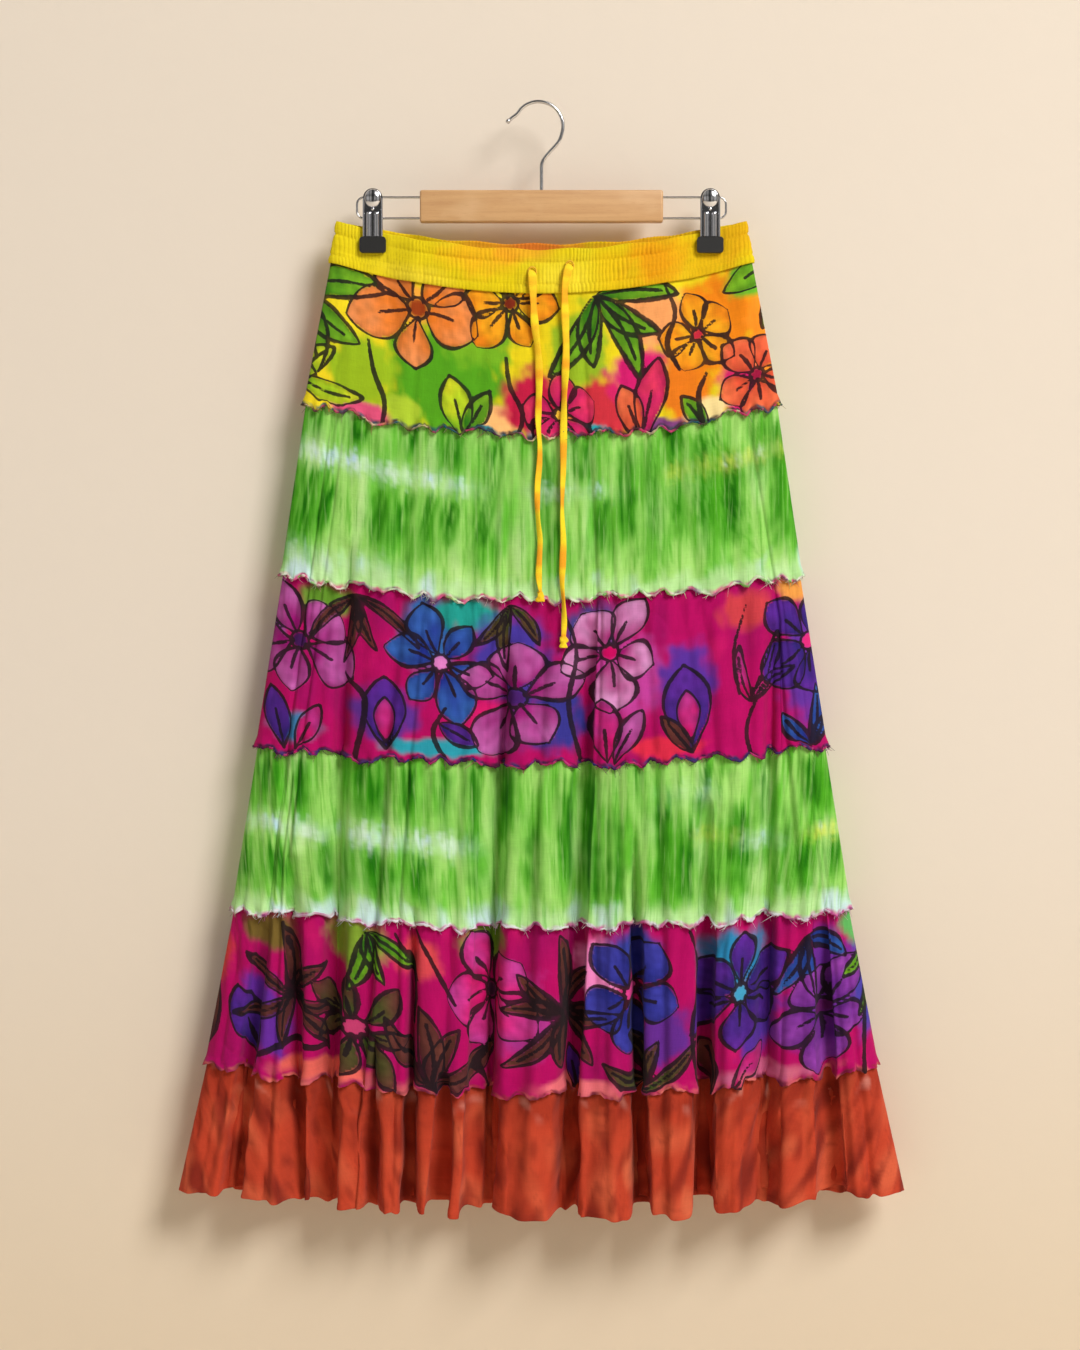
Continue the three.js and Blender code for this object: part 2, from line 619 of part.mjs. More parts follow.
// A tie with what ends it, which is turned about the vertical and flattened like the tie.
function endedTie(route, profile) {
  const points = profile.map(([radius, up]) => new THREE.Vector2(radius, up));
  const [x, y, z] = route[route.length - 1];
  const end = new THREE.LatheGeometry(points, 10).rotateX(Math.PI / 2).scale(1, 0.6, 1).translate(x, y, z);
  return geometryOfSolid(solidOf(tie(route)).add(solidOf(end)));
}

const { radius: flare, height: flareHeight } = FLARE;
const flareProfile = [
  [0, -flareHeight],
  [flare, -flareHeight],
  [flare * 0.6, -flareHeight / 2],
  [flare * 0.6, 1],
  [0, 1],
];
const { radius: knot, height: knotHeight } = KNOT;
const knotProfile = [
  [0, -knotHeight],
  [knot, -knotHeight],
  [knot * 0.7, -knotHeight * 0.7],
  [knot, -knotHeight * 0.45],
  [knot * 0.8, -knotHeight * 0.2],
  [knot * 0.5, 1],
  [0, 1],
];
add("drawstring_left", endedTie(LEFT_CORD, flareProfile), "cord");
add("drawstring_right", endedTie(RIGHT_CORD, knotProfile), "cord");

export default group;
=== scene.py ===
# %% [markdown]
# # A tiered skirt on a clip hanger
#
# This lesson dresses a plain model of a long cotton skirt. Its waistband is gathered, its tiers are dyed or
# hand painted, the tiers' edges are left raw, and it hangs flat from the two clips of a wooden hanger. The
# frame loads first. It gives every plain solid in one set of axes: metres, +Z up, the skirt's front facing
# -Y, and the origin at the inside top of the hanger's hook. Everything below is placed in those axes.

# %% Load the frame
import json
import math
from functools import partial

import bpy
import numpy as np
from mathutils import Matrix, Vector

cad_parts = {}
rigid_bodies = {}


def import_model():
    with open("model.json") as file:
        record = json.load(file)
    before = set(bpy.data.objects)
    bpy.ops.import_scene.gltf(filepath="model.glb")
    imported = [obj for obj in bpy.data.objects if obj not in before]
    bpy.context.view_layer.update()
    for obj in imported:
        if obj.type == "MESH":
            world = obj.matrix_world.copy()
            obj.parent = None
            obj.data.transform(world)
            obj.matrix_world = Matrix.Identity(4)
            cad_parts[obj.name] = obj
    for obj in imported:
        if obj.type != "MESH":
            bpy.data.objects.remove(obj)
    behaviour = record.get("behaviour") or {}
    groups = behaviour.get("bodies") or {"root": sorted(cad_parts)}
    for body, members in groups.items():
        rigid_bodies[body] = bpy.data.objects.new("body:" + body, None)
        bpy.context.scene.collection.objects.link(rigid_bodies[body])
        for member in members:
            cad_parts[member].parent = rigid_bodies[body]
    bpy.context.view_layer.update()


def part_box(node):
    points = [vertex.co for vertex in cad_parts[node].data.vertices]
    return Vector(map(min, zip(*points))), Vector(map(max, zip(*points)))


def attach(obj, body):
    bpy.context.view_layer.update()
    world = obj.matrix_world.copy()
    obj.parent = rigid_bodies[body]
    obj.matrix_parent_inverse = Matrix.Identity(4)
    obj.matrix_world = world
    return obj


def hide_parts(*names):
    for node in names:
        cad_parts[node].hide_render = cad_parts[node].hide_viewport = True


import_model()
bpy.ops.object.select_all(action="DESELECT")

# %% [markdown]
# ## Camera, wall, floor and light
#
# A long lens from almost 3 m away keeps the skirt's sides straight, as a product picture does. The wall is
# close behind, so the skirt throws a soft shadow on it. Seen from behind, the wall is left out, so that the
# skirt's back can be looked at too. The colours are shown as they are, because a film look would dull the
# dyes.

# %% Aim the camera
PIXEL = 0.00096  # metres across the skirt for one pixel of a 1080 by 1350 picture
AIM = Vector((-0.0014, 0.0, -0.5486))
DISTANCE = 2.8
lens = bpy.data.cameras.new("viewer")
lens.sensor_fit = "VERTICAL"
lens.sensor_height = 24
lens.lens = lens.sensor_height * DISTANCE / (1350 * PIXEL)
camera = bpy.data.objects.new("viewer", lens)
camera.location = AIM + Vector((0, -DISTANCE, 0))
camera.rotation_euler = (math.pi / 2, 0, 0)
bpy.context.collection.objects.link(camera)
bpy.context.scene.camera = camera
bpy.context.scene.view_settings.view_transform = "Standard"
print("focal length, mm:", round(lens.lens, 1))


# %% A colour as a screen shows it, made linear
def dye(red, green, blue):
    shares = np.array([red, green, blue]) / 255
    return np.where(shares <= 0.04045, shares / 12.92, ((shares + 0.055) / 1.055) ** 2.4)


# %% [markdown]
# Shader nodes are tedious to wire by hand, and a formula is easier to read. This class wraps one socket, and
# adding or multiplying two of them adds the Math node that does it. Any other node comes from one method of
# the finish.


# %% Write shader maths as expressions
class Thread:
    def __init__(self, finish, socket):
        self.finish = finish
        self.socket = socket

    def maths(self, operation, *values):
        return self.finish.node("ShaderNodeMath", {"operation": operation}, dict(enumerate(values)))

    def ramp(self, start, stop, low=0.0, high=1.0):
        settings = {"interpolation_type": "SMOOTHSTEP"}
        inputs = {"Value": self, "From Min": start, "From Max": stop, "To Min": low, "To Max": high}
        return self.finish.node("ShaderNodeMapRange", settings, inputs)


for sign, operation in (("add", "ADD"), ("sub", "SUBTRACT"), ("mul", "MULTIPLY"), ("truediv", "DIVIDE")):
    setattr(Thread, f"__{sign}__", lambda a, b, operation=operation: a.maths(operation, a, b))
    setattr(Thread, f"__r{sign}__", lambda a, b, operation=operation: a.maths(operation, b, a))


class Finish:
    """A material and its node tree."""

    def __init__(self, name):
        self.material = bpy.data.materials.new(name)
        self.material.use_nodes = True
        self.tree = self.material.node_tree
        self.shader = self.tree.nodes["Principled BSDF"]

    def node(self, kind, settings=None, inputs=None, output=0):
        made = self.tree.nodes.new(kind)
        for key, value in (settings or {}).items():
            setattr(made, key, value)
        for key, value in (inputs or {}).items():
            self.feed(made.inputs[key], value)
        return Thread(self, made.outputs[output])

    def feed(self, socket, value):
        if isinstance(value, Thread):
            self.tree.links.new(value.socket, socket)
        elif hasattr(value, "__len__") and len(value) == 3 and socket.type == "RGBA":
            socket.default_value = (*value, 1)
        else:
            socket.default_value = value

    def set(self, **values):
        for key, value in values.items():
            self.feed(self.shader.inputs[key.replace("_", " ")], value)
        return self

    def mix(self, factor, first, second, blend="MIX"):
        settings = {"data_type": "RGBA", "blend_type": blend, "clamp_factor": True}
        return self.node("ShaderNodeMix", settings, {0: factor, 6: first, 7: second}, output=2)

    def attribute(self, name, output="Fac"):
        return self.node("ShaderNodeAttribute", {"attribute_name": name}, output=output)

    def place(self, source, scale):
        return self.node("ShaderNodeMapping", None, {"Vector": source, "Scale": scale})

    def noise(self, source, scale, detail=2.0, roughness=0.5):
        inputs = {"Vector": source, "Scale": scale, "Detail": detail, "Roughness": roughness}
        return self.node("ShaderNodeTexNoise", None, inputs)

    def bump(self, height, distance, strength=1.0):
        inputs = {"Height": height, "Distance": distance, "Strength": strength}
        self.set(Normal=self.node("ShaderNodeBump", None, inputs))
        return self


# %% Hang the wall and lay the floor
wall_paint = Finish("wall_paint")
on_wall = wall_paint.node("ShaderNodeTexCoord", output="Object")
speckle = wall_paint.noise(on_wall, 60, 4)
height = wall_paint.node("ShaderNodeSeparateXYZ", None, {0: on_wall}, output="Y")
# Painted shade: the wall's colour is darker and browner towards the floor, where less light reaches it.
cream_with_low_shade = wall_paint.mix(height.ramp(-1.35, -0.55), dye(220, 203, 178), dye(225, 214, 200))
wall_paint.set(Base_Color=cream_with_low_shade, Roughness=0.9, Specular_IOR_Level=0.1).bump(speckle, 0.0006, 0.3)
behind = wall_paint.node("ShaderNodeNewGeometry", output="Backfacing")
shadow_ray = wall_paint.node("ShaderNodeLightPath", output="Is Shadow Ray")
see_through = behind.maths("MAXIMUM", behind, shadow_ray)
clear = wall_paint.node("ShaderNodeBsdfTransparent")
painted = Thread(wall_paint, wall_paint.shader.outputs[0])
faced = wall_paint.node("ShaderNodeMixShader", None, {0: see_through, 1: painted, 2: clear})
wall_paint.feed(wall_paint.tree.nodes["Material Output"].inputs["Surface"], faced)
floor_paint = Finish("floor_paint").set(Base_Color=dye(232, 220, 202), Roughness=0.8)


def stage_plane(name, finish, size, location, rotation):
    bpy.ops.mesh.primitive_plane_add(size=size, location=location, rotation=rotation)
    plane = bpy.context.object
    plane.name = name
    plane.data.materials.append(finish.material)
    plane.select_set(False)


stage_plane("wall", wall_paint, 9, (0, 0.037, 0), (math.pi / 2, 0, 0))
stage_plane("floor", floor_paint, 9, (0, 0, -1.36), (0, 0, 0))


# %% Hang the lights
def lamp(name, location, target, size, power, colour=(1, 1, 1), mirrored=True):
    light = bpy.data.lights.new(name, "AREA")
    light.size = size
    light.energy = power
    light.color = colour
    holder = bpy.data.objects.new(name, light)
    holder.location = location
    holder.rotation_euler = (Vector(target) - Vector(location)).to_track_quat("-Z", "Y").to_euler()
    holder.visible_glossy = mirrored
    bpy.context.collection.objects.link(holder)
    print(name, "watts:", power)


lamp("key", (3.3, -4.4, 3.4), (0, 0, -0.62), 2.6, 425, (1, 0.985, 0.965))
lamp("fill", (-2.3, -2.1, 0.3), (0, 0, -0.6), 2.2, 6, (1, 0.99, 0.975), False)
lamp("rear", (0.5, 2.4, 0.6), (0, 0, -0.5), 2.2, 32)
world = bpy.data.worlds.new("room")
world.use_nodes = True
room = world.node_tree
toward = room.nodes.new("ShaderNodeNewGeometry")
parts = room.nodes.new("ShaderNodeSeparateXYZ")
room.links.new(toward.outputs["Position"], parts.inputs[0])


def room_bands(axis, stops):
    """Warm greys along one axis of the room, as (place from -1 to 1, grey)."""
    ramp = room.nodes.new("ShaderNodeValToRGB")
    place = room.nodes.new("ShaderNodeMapRange")
    place.inputs["From Min"].default_value = -1
    room.links.new(parts.outputs[axis], place.inputs["Value"])
    room.links.new(place.outputs[0], ramp.inputs[0])
    bands = ramp.color_ramp.elements
    bands[0].position, bands[1].position = [(stops[end][0] + 1) / 2 for end in (0, -1)]
    for position, _ in stops[1:-1]:
        bands.new((position + 1) / 2)
    for band, (_, grey) in zip(bands, stops):
        band.color = (grey, grey * 0.98, grey * 0.95, 1)
    return ramp.outputs[0]


SIDEWAYS = [
    (-1, 0.3), (-0.9, 0.15), (-0.78, 1), (-0.5, 1), (-0.4, 0.2), (-0.3, 0.9), (-0.22, 1), (-0.12, 0.08),
    (0.1, 0.08), (0.2, 1), (0.32, 0.5), (0.42, 0.2), (0.52, 1), (0.8, 1), (0.92, 0.15), (1, 0.3),
]  # fmt: skip
UPWARDS = [
    (-1, 0.25), (-0.4, 0.3), (-0.16, 0.5), (-0.04, 0.95), (0.2, 1), (0.34, 0.3), (0.6, 0.8), (1, 0.7),
]  # fmt: skip
crossed = room.nodes.new("ShaderNodeMix")
crossed.data_type, crossed.blend_type = "RGBA", "MULTIPLY"
crossed.inputs[0].default_value = 1
room.links.new(room_bands("X", SIDEWAYS), crossed.inputs[6])
room.links.new(room_bands("Z", UPWARDS), crossed.inputs[7])
room.links.new(crossed.outputs[2], room.nodes["Background"].inputs["Color"])
room.nodes["Background"].inputs["Strength"].default_value = 0.46
bpy.context.scene.world = world

# %% [markdown]
# ## The ties
#
# The two ends of the drawstring come out of the band and hang down in front. Each is a flat tube sewn from
# the yellow cloth, a little twisted, with its far end bare or knotted. Such a cord isn't an extruded
# primitive: its ring of points is carried down a smooth curve and turned on the way, which is simplest in
# numbers.

# %% Where each tie hangs, in millimetres
LEFT_CORD = [
    (-8.8, -9.5, -161.5), (-8.8, -16.4, -167), (-8.2, -17, -182), (-7.4, -16.4, -198), (-6.2, -16.2, -216),
    (-4, -16.4, -234), (-2.4, -16.9, -253), (-2.2, -17.5, -272), (-2.8, -18.2, -291), (-3, -19.2, -310),
    (-1.6, -19.4, -330), (-2, -19.8, -348), (-3.6, -20.6, -366), (-4, -21.6, -384), (-3.2, -22.8, -402),
    (-1.4, -23.9, -420), (-2, -25, -438), (-2.6, -26, -454), (-1, -27.2, -470),
]  # fmt: skip
RIGHT_CORD = [
    (28.2, -9.5, -155.6), (25.4, -16.2, -162), (22.4, -16.9, -178), (22.4, -16.4, -196), (23, -16.3, -216),
    (23.6, -16.5, -238), (22.8, -17.1, -260), (21.8, -18, -282), (21.2, -18.9, -306), (21, -19.4, -330),
    (20.8, -20.1, -352), (20, -21.1, -374), (19.8, -22.4, -396), (20.8, -23.9, -420), (20.2, -25.4, -442),
    (19.6, -26.7, -460), (21, -28.1, -480), (21.6, -28.3, -498), (21, -28.4, -512),
]  # fmt: skip
CORD_WIDTH = 6.6
CORD_THICKNESS = 2.2
CORD_SIDES = 14


def smooth_route(points, per_span=9):
    """A Catmull-Rom curve through the points."""
    points = np.array(points, float)
    padded = np.vstack([2 * points[0] - points[1], points, 2 * points[-1] - points[-2]])
    t = np.linspace(0, 1, per_span, endpoint=False)[:, None]
    spans = []
    for a, b, c, d in zip(padded, padded[1:], padded[2:], padded[3:]):
        square, cube = 2 * a - 5 * b + 4 * c - d, 3 * b - a - 3 * c + d
        spans.append(0.5 * (2 * b + (c - a) * t + square * t**2 + cube * t**3))
    return np.vstack(spans + [points[-1:]])


# %% A mesh from arrays of points and faces, with what its finish reads
def piece_from(name, points, faces, **values):
    """points are in millimetres. values are one number or three for each point, and become attributes."""
    mesh = bpy.data.meshes.new(name)
    mesh.from_pydata((np.asarray(points) / 1000).tolist(), [], [tuple(int(i) for i in f) for f in faces])
    for key, array in values.items():
        array = np.asarray(array, np.float32)
        if key == "paint":
            rgba = np.hstack([array, np.ones((len(array), 1), np.float32)])
            mesh.attributes.new(key, "FLOAT_COLOR", "POINT").data.foreach_set("color", rgba.ravel())
        elif array.ndim == 2:
            mesh.attributes.new(key, "FLOAT_VECTOR", "POINT").data.foreach_set("vector", array.ravel())
        else:
            mesh.attributes.new(key, "FLOAT", "POINT").data.foreach_set("value", array)
    mesh.polygons.foreach_set("use_smooth", np.ones(len(mesh.polygons), bool))
    made = bpy.data.objects.new(name, mesh)
    bpy.context.collection.objects.link(made)
    return made


def tube(route, widths, thicknesses, twists, sides):
    """Points and faces of a closed flat tube along a route."""
    tangent = np.gradient(route, axis=0)
    tangent /= np.linalg.norm(tangent, axis=1)[:, None]
    across = np.cross(tangent, np.array([0, -1.0, 0]))
    across /= np.linalg.norm(across, axis=1)[:, None]
    out = np.cross(across, tangent)
    turn = 2 * np.pi * np.arange(sides) / sides
    u = np.cos(turn)[None, :] * (widths / 2)[:, None]
    v = np.sin(turn)[None, :] * (thicknesses / 2)[:, None]
    c, s = np.cos(twists)[:, None], np.sin(twists)[:, None]
    aside, ahead = (u * c - v * s)[..., None] * across[:, None], (u * s + v * c)[..., None] * out[:, None]
    points = np.vstack([(route[:, None] + aside + ahead).reshape(-1, 3), route[:1], route[-1:]])
    n, last = len(route), len(route) * sides
    faces = []
    for i in range(n - 1):
        for j in range(sides):
            k = (j + 1) % sides
            faces.append((i * sides + j, i * sides + k, (i + 1) * sides + k, (i + 1) * sides + j))
    for j in range(sides):
        k = (j + 1) % sides
        faces.append((last, k, j))
        faces.append((last + 1, last - sides + j, last - sides + k))
    return points, faces


# %% Sew and hang both ties
def hang_tie(name, node, points, seed):
    route = smooth_route(points)
    down = np.linspace(0, 1, len(route))
    wander = np.random.default_rng(seed).uniform(0, 6.28, 3)
    twist = 0.12 + 0.95 * down**0.6 * np.sin(13 * down + wander[0]) + 0.25 * np.sin(37 * down + wander[1])
    width = CORD_WIDTH * (1.22 - 0.38 * down**0.7 + 0.08 * np.sin(43 * down + wander[2]))
    thick = np.full(len(route), CORD_THICKNESS) * (1 + 0.1 * np.sin(55 * down))
    mesh_points, faces = tube(route, width, thick, twist, CORD_SIDES)
    along = np.repeat(down, CORD_SIDES)
    along = np.append(along, [0, 1])
    length = float(np.linalg.norm(np.diff(route, axis=0), axis=1).sum()) / 1000
    made = piece_from(name, mesh_points, faces, cloth=np.c_[along * 0, along * length, along * 0])
    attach(made, "root")
    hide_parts(node)
    print(name, "length, m:", round(length, 3))
    return made


def tuft(centre, radius, height, seed, lumps):
    """The last bit of a tie: a small turned form, creased round its side."""
    points, faces, rings, sides = [], [], 12, 20
    phase = np.random.default_rng(seed).uniform(0, 6.28, 4)
    for i in range(rings + 1):
        t = i / rings
        for j in range(sides):
            turn = 2 * np.pi * j / sides
            creased = 0.12 * np.sin(5 * turn + 7 * t + phase[0]) + 0.1 * np.sin(3 * turn - 9 * t + phase[1])
            r = radius * np.interp(t, *zip(*lumps)) * (1 + creased)
            points.append(centre + np.array([r * np.cos(turn), 0.62 * r * np.sin(turn), -height * t]))
    for i in range(rings):
        for j in range(sides):
            k = (j + 1) % sides
            faces.append((i * sides + j, (i + 1) * sides + j, (i + 1) * sides + k, i * sides + k))
    faces.append(tuple(range(sides)))
    faces.append(tuple(range((rings + 1) * sides - 1, rings * sides - 1, -1)))
    return points, faces


KNOT_FORM = [(0, 0.45), (0.12, 0.85), (0.3, 1), (0.5, 0.95), (0.6, 0.6), (0.72, 0.75), (0.9, 1), (1, 0.9)]
END_FORM = [(0, 0.6), (0.3, 0.62), (0.6, 0.8), (0.9, 1), (1, 0.9)]
ends = {}
for name, route_end, radius, height, form in [
    ("tie_knot", RIGHT_CORD[-1], 4.0, 11.5, KNOT_FORM), ("tie_end", LEFT_CORD[-1], 4.4, 9.6, END_FORM),
]:
    end_points, end_faces = tuft(np.array(route_end, float) + [0, 0, 0.6], radius, height, 5, form)
    end_cloth = np.array(end_points)[:, [0, 2, 1]] / 1000
    ends[name] = piece_from(name, end_points, end_faces, cloth=end_cloth)
    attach(ends[name], "root")
left_tie = hang_tie("tie_left", "drawstring_left", LEFT_CORD, 3)
right_tie = hang_tie("tie_right", "drawstring_right", RIGHT_CORD, 4)

# %% [markdown]
# ## The skirt's form
#
# The plain solids follow one formula: a table of widths, depths and drops, and a table of the valleys between
# the hanging folds. The same tables are repeated here, so that the fine cloth lies exactly on the plain
# walls. Each tier is then worked out on a much finer grid, with the gathers, creases and raw edges that the
# plain walls leave out.

# %% The stations and the valleys, in millimetres
DROPS = [0, 40, 176, 340, 504, 659, 810, 930]
HALF_WIDTHS = [196.5, 202, 226, 248, 272, 294.5, 321, 348]
TOP_Z = -113
SEAM_GAP = 0.3  # between the front and the back at a side seam
LAP = 8  # how far a tier goes on above its seam
LAP_LIFT = 2  # how far its lower edge stands out over the next tier
CLIP_X = 161.7  # from the middle to each clip
# Each valley: x at the band, drop where it starts, x there, x at the hem, share of the depth, width.
FRONT_VALLEYS = [
    (-184, 659, -266, -297, 0.35, 9), (-164, 600, -236, -230, 0.4, 11), (-136, 300, -184, -203, 0.68, 14),
    (-100, 760, -157, -157, 0.3, 8), (-77, 640, -121, -122, 0.44, 10), (-54, 790, -92, -94, 0.26, 7),
    (-24, 380, -33, -51, 0.7, 17), (28, 340, 46, 25, 0.62, 14), (62, 560, 87, 94, 0.4, 8),
    (100, 540, 158, 153, 0.5, 9), (148, 380, 221, 214, 0.68, 14), (188, 659, 268, 279, 0.36, 8),
]  # fmt: skip
BACK_VALLEYS = [
    (-180, 640, -262, -296, 0.32, 9), (-150, 420, -208, -236, 0.5, 13), (-112, 600, -160, -182, 0.36, 10),
    (-76, 380, -104, -121, 0.55, 14), (-40, 700, -58, -66, 0.34, 9), (-6, 460, -8, -12, 0.52, 13),
    (30, 720, 46, 47, 0.3, 9), (66, 400, 94, 108, 0.55, 14), (104, 640, 152, 166, 0.38, 10),
    (142, 430, 200, 226, 0.5, 13), (176, 650, 260, 288, 0.32, 9),
]  # fmt: skip


class Side:
    def __init__(self, name, sign, depths, sags, valleys):
        self.name, self.sign, self.depths, self.sags, self.valleys = name, sign, depths, sags, valleys


FRONT = Side("front", -1, [9, 10, 13, 21, 30, 38, 46, 55], [28, 31, 31, 24, 17, 18, 26, 25], FRONT_VALLEYS)
BACK = Side("back", 1, [9, 10, 12, 15, 18, 20, 22, 25], [20, 31, 31, 22, 14, 14, 18, 16], BACK_VALLEYS)


# %% The formula of the surface
# Places across the skirt, closer together at the side seams, where the cloth turns
ACROSS = np.sin(np.pi / 2 * np.linspace(-1, 1, 2401))
HEM_DROP = DROPS[-1]
OVERHANG = 0.8  # how far a fold leans over the valley on its left, in widths of the valley
RECESS = 48  # how deep the cloth would sink in a valley with room behind it
SHOULDER = 8  # how far it slopes down beside one
ROOM = 0.84  # the share of the skirt's depth that a fold may sink


def smooth(value, low, high):
    share = np.clip((value - low) / (high - low), 0, 1)
    return share * share * (3 - 2 * share)


def pinched(x, drop):
    """1 where a clip holds the cloth flat, and 0 away from it."""
    return (1 - smooth(np.abs(np.abs(x) - CLIP_X), 15, 41)) * (1 - smooth(drop, 44, 130))


def valley_x(valley, drop):
    band, start, there, hem = valley[:4]
    return np.interp(drop, [0, start, HEM_DROP], [band, there, hem])


def grown_by(valley, drop):
    """How far a valley has opened, from 0 where it starts to 1 at the hem."""
    return max(0, (drop - valley[1]) / (HEM_DROP - valley[1]))


def depth_at(side, x, drop):
    reach = np.minimum(1, np.abs(x) / np.interp(drop, DROPS, HALF_WIDTHS))
    full = np.interp(drop, DROPS, side.depths) * np.sqrt(1 - reach**3)
    share = np.zeros_like(x)
    for valley in side.valleys:
        grown = grown_by(valley, drop)
        away = (x - valley_x(valley, drop)) / (valley[5] * (0.5 + 0.5 * grown))
        share += valley[4] * grown**0.7 * np.exp(0.2 - np.hypot(away, 0.2))
    folded = full * (1 - np.minimum(0.8, share))
    flat = np.minimum(folded, 0.75)
    return SEAM_GAP / 2 + folded + (flat - folded) * pinched(x, drop)


def section(side, drop, columns):
    """One row of cloth: its points, the way out at each, and the length of cloth from the middle."""
    half = np.interp(drop, DROPS, HALF_WIDTHS)
    x = half * ACROSS
    y = side.sign * depth_at(side, x, drop)
    long = np.concatenate([[0], np.cumsum(np.hypot(np.diff(x), np.diff(y)))])
    stops = np.concatenate([[0], np.interp([valley_x(v, drop) for v in side.valleys], x, long), [long[-1]]])
    at = np.interp(np.linspace(0, 1, columns + 1), [0, *side.shares, 1], stops)
    px, py = np.interp(at, long, x), np.interp(at, long, y)
    slide, recess, rounding = np.zeros_like(px), np.zeros_like(px), np.zeros_like(px)
    for valley in side.valleys:
        grown = grown_by(valley, drop)
        width = valley[5] * (0.5 + 0.5 * grown)
        off = px - valley_x(valley, drop)
        strong = min(1, 0.3 + 1.15 * valley[4]) * grown**0.5
        slide -= OVERHANG * width * strong * np.exp(-((off / width - 1.3) ** 2) / 0.75)
        recess += RECESS * strong**0.9 * grown**0.15 * np.exp(-(np.abs(off / width + 0.05) ** 3) / 0.7)
        beside = SHOULDER * (0.35 + valley[4]) * grown**0.7 * np.exp(0.2 - np.hypot(off / 18, 0.2))
        rounding = np.maximum(rounding, beside)
    room = ROOM * np.abs(py) + 0.01
    sink = room * np.tanh((recess + rounding) / room)
    px, py = px + slide, py - side.sign * sink
    ox, oy = -side.sign * np.gradient(py, at), side.sign * np.gradient(px, at)
    ox[[0, -1]], oy[[0, -1]] = (-1, 1), (0, 0)
    size = np.hypot(ox, oy)
    reach = np.minimum(1, np.abs(px) / half)
    sag = np.interp(drop, DROPS, side.sags) * (1 - reach**2)
    z = TOP_Z - drop - sag + 0.3 * sink * smooth(drop, 300, 620)
    return np.c_[px, py, z], np.c_[ox / size, oy / size, 0 * z], at - long[-1] / 2


def find_shares(side):
    """Where the valleys lie along the hem, as shares of its length."""
    x = HALF_WIDTHS[-1] * ACROSS
    long = np.concatenate([[0], np.cumsum(np.hypot(np.diff(x), np.diff(depth_at(side, x, HEM_DROP))))])
    side.shares = [np.interp(v[3], x, long) / long[-1] for v in side.valleys]
    print(side.name, "cloth along the hem, mm:", round(long[-1]))


find_shares(FRONT)
find_shares(BACK)


def drape(side, share, drop):
    """How far the soft folds sink. Each starts at a seam and hangs to the hem, where it is deepest."""
    rng = np.random.default_rng(900 + (side is BACK))
    sunk = 0 * share
    for start, count in ((10, 13), (176, 9), (340, 8), (504, 7), (659, 7), (810, 12)):
        for place in (np.arange(count) + rng.uniform(0.1, 0.9, count)) / count:
            wide, deep = rng.uniform(0.006, 0.014), rng.uniform(0.35, 1.0)
            drift, bend = rng.normal(0, 0.008), rng.uniform(0, 6.28)
            grown = np.clip((drop - start) / (940 - start), 0, 1)
            middle = place + drift * grown + 0.0015 * np.sin(drop / 60 + bend)
            size = deep * smooth(drop, start, start + 22) * (0.8 + 9 * grown + 1.6 * (start > 20))
            away = (share - middle) / wide
            sunk = sunk + size * np.exp(-np.where(away > 0, away * 1.7, away) ** 2)
    return 10 * np.tanh(sunk / 10)


# %% [markdown]
# ## Waves, noise and dye on a grid of cloth
#
# Gathers and creases are irregular, but must come out the same on every run. Sums of a few waves with seeded
# phases give that. The same soft noise frays the borders between dyes.

# %% Seeded waves
def waves(across, down, size, seed, stretch=1.0, count=7):
    """Soft noise between about -1 and 1. stretch over 1 draws its forms out down the cloth."""
    rng = np.random.default_rng(seed)
    total = 0
    for _ in range(count):
        turn, phase, bend = rng.uniform(0, 2 * np.pi, 3)
        step = size * rng.uniform(0.6, 1.5) / (2 * np.pi)
        along = across * np.cos(turn) + down * np.sin(turn) / stretch
        total = total + np.sin(along / step + phase + np.sin(across / step / 3 + bend))
    return total / (0.6 * count)


def crease(across, down, size, seed, stretch=1.0):
    """Thin pressed creases, along the lines where soft noise changes sign."""
    field = waves(across, down, size, seed, stretch)
    return np.exp(-((field / 0.14) ** 2)) * smooth(waves(across, down, size * 1.7, seed + 50), -0.3, 0.8)


def gathers(across, down, seed):
    """The fine upright ridges that a gathered seam makes, which fade down the cloth."""
    rng = np.random.default_rng(seed)
    p = rng.uniform(0, 6.28, 6)
    lean = across + 4 * np.sin(down / 37 + across / 60 + p[0]) * np.minimum(1, down / 40)
    turn, below = 2 * np.pi * lean, np.maximum(0, down)
    fine = np.sin(turn / 7.5 + 1.6 * np.sin(lean / 13 + p[1])) + 0.5 * np.sin(turn / 4.9 + p[2])
    broad = np.sin(turn / 19 + 1.9 * np.sin(lean / 31 + p[3])) + 0.7 * np.sin(turn / 33 + p[4])
    size = 0.7 + 0.3 * np.sin(across / 21 + p[5])
    start = smooth(down, -6, 12)
    return size * start * (0.85 * fine * np.exp(-below / 24) + 1.3 * broad * np.exp(-below / 80))


# %% [markdown]
# The painted tiers carry flowers and leaves drawn with a loaded brush: black outlines, with washes of colour
# that run past them. A painting here is three arrays over the grid: the colour, the distance from the nearest
# closed outline, and the distance from the nearest loose brush mark. The outlines' distance changes its sign
# at each line that is crossed, so it passes evenly through 0 there, and the finish can draw a line much
# sharper than the grid.


# %% Washes, petals and lines
BOLD = 1.5  # the brush's width, as a share of the widths in the tables
FULL = 1.18  # the same for the size of flowers and sprays


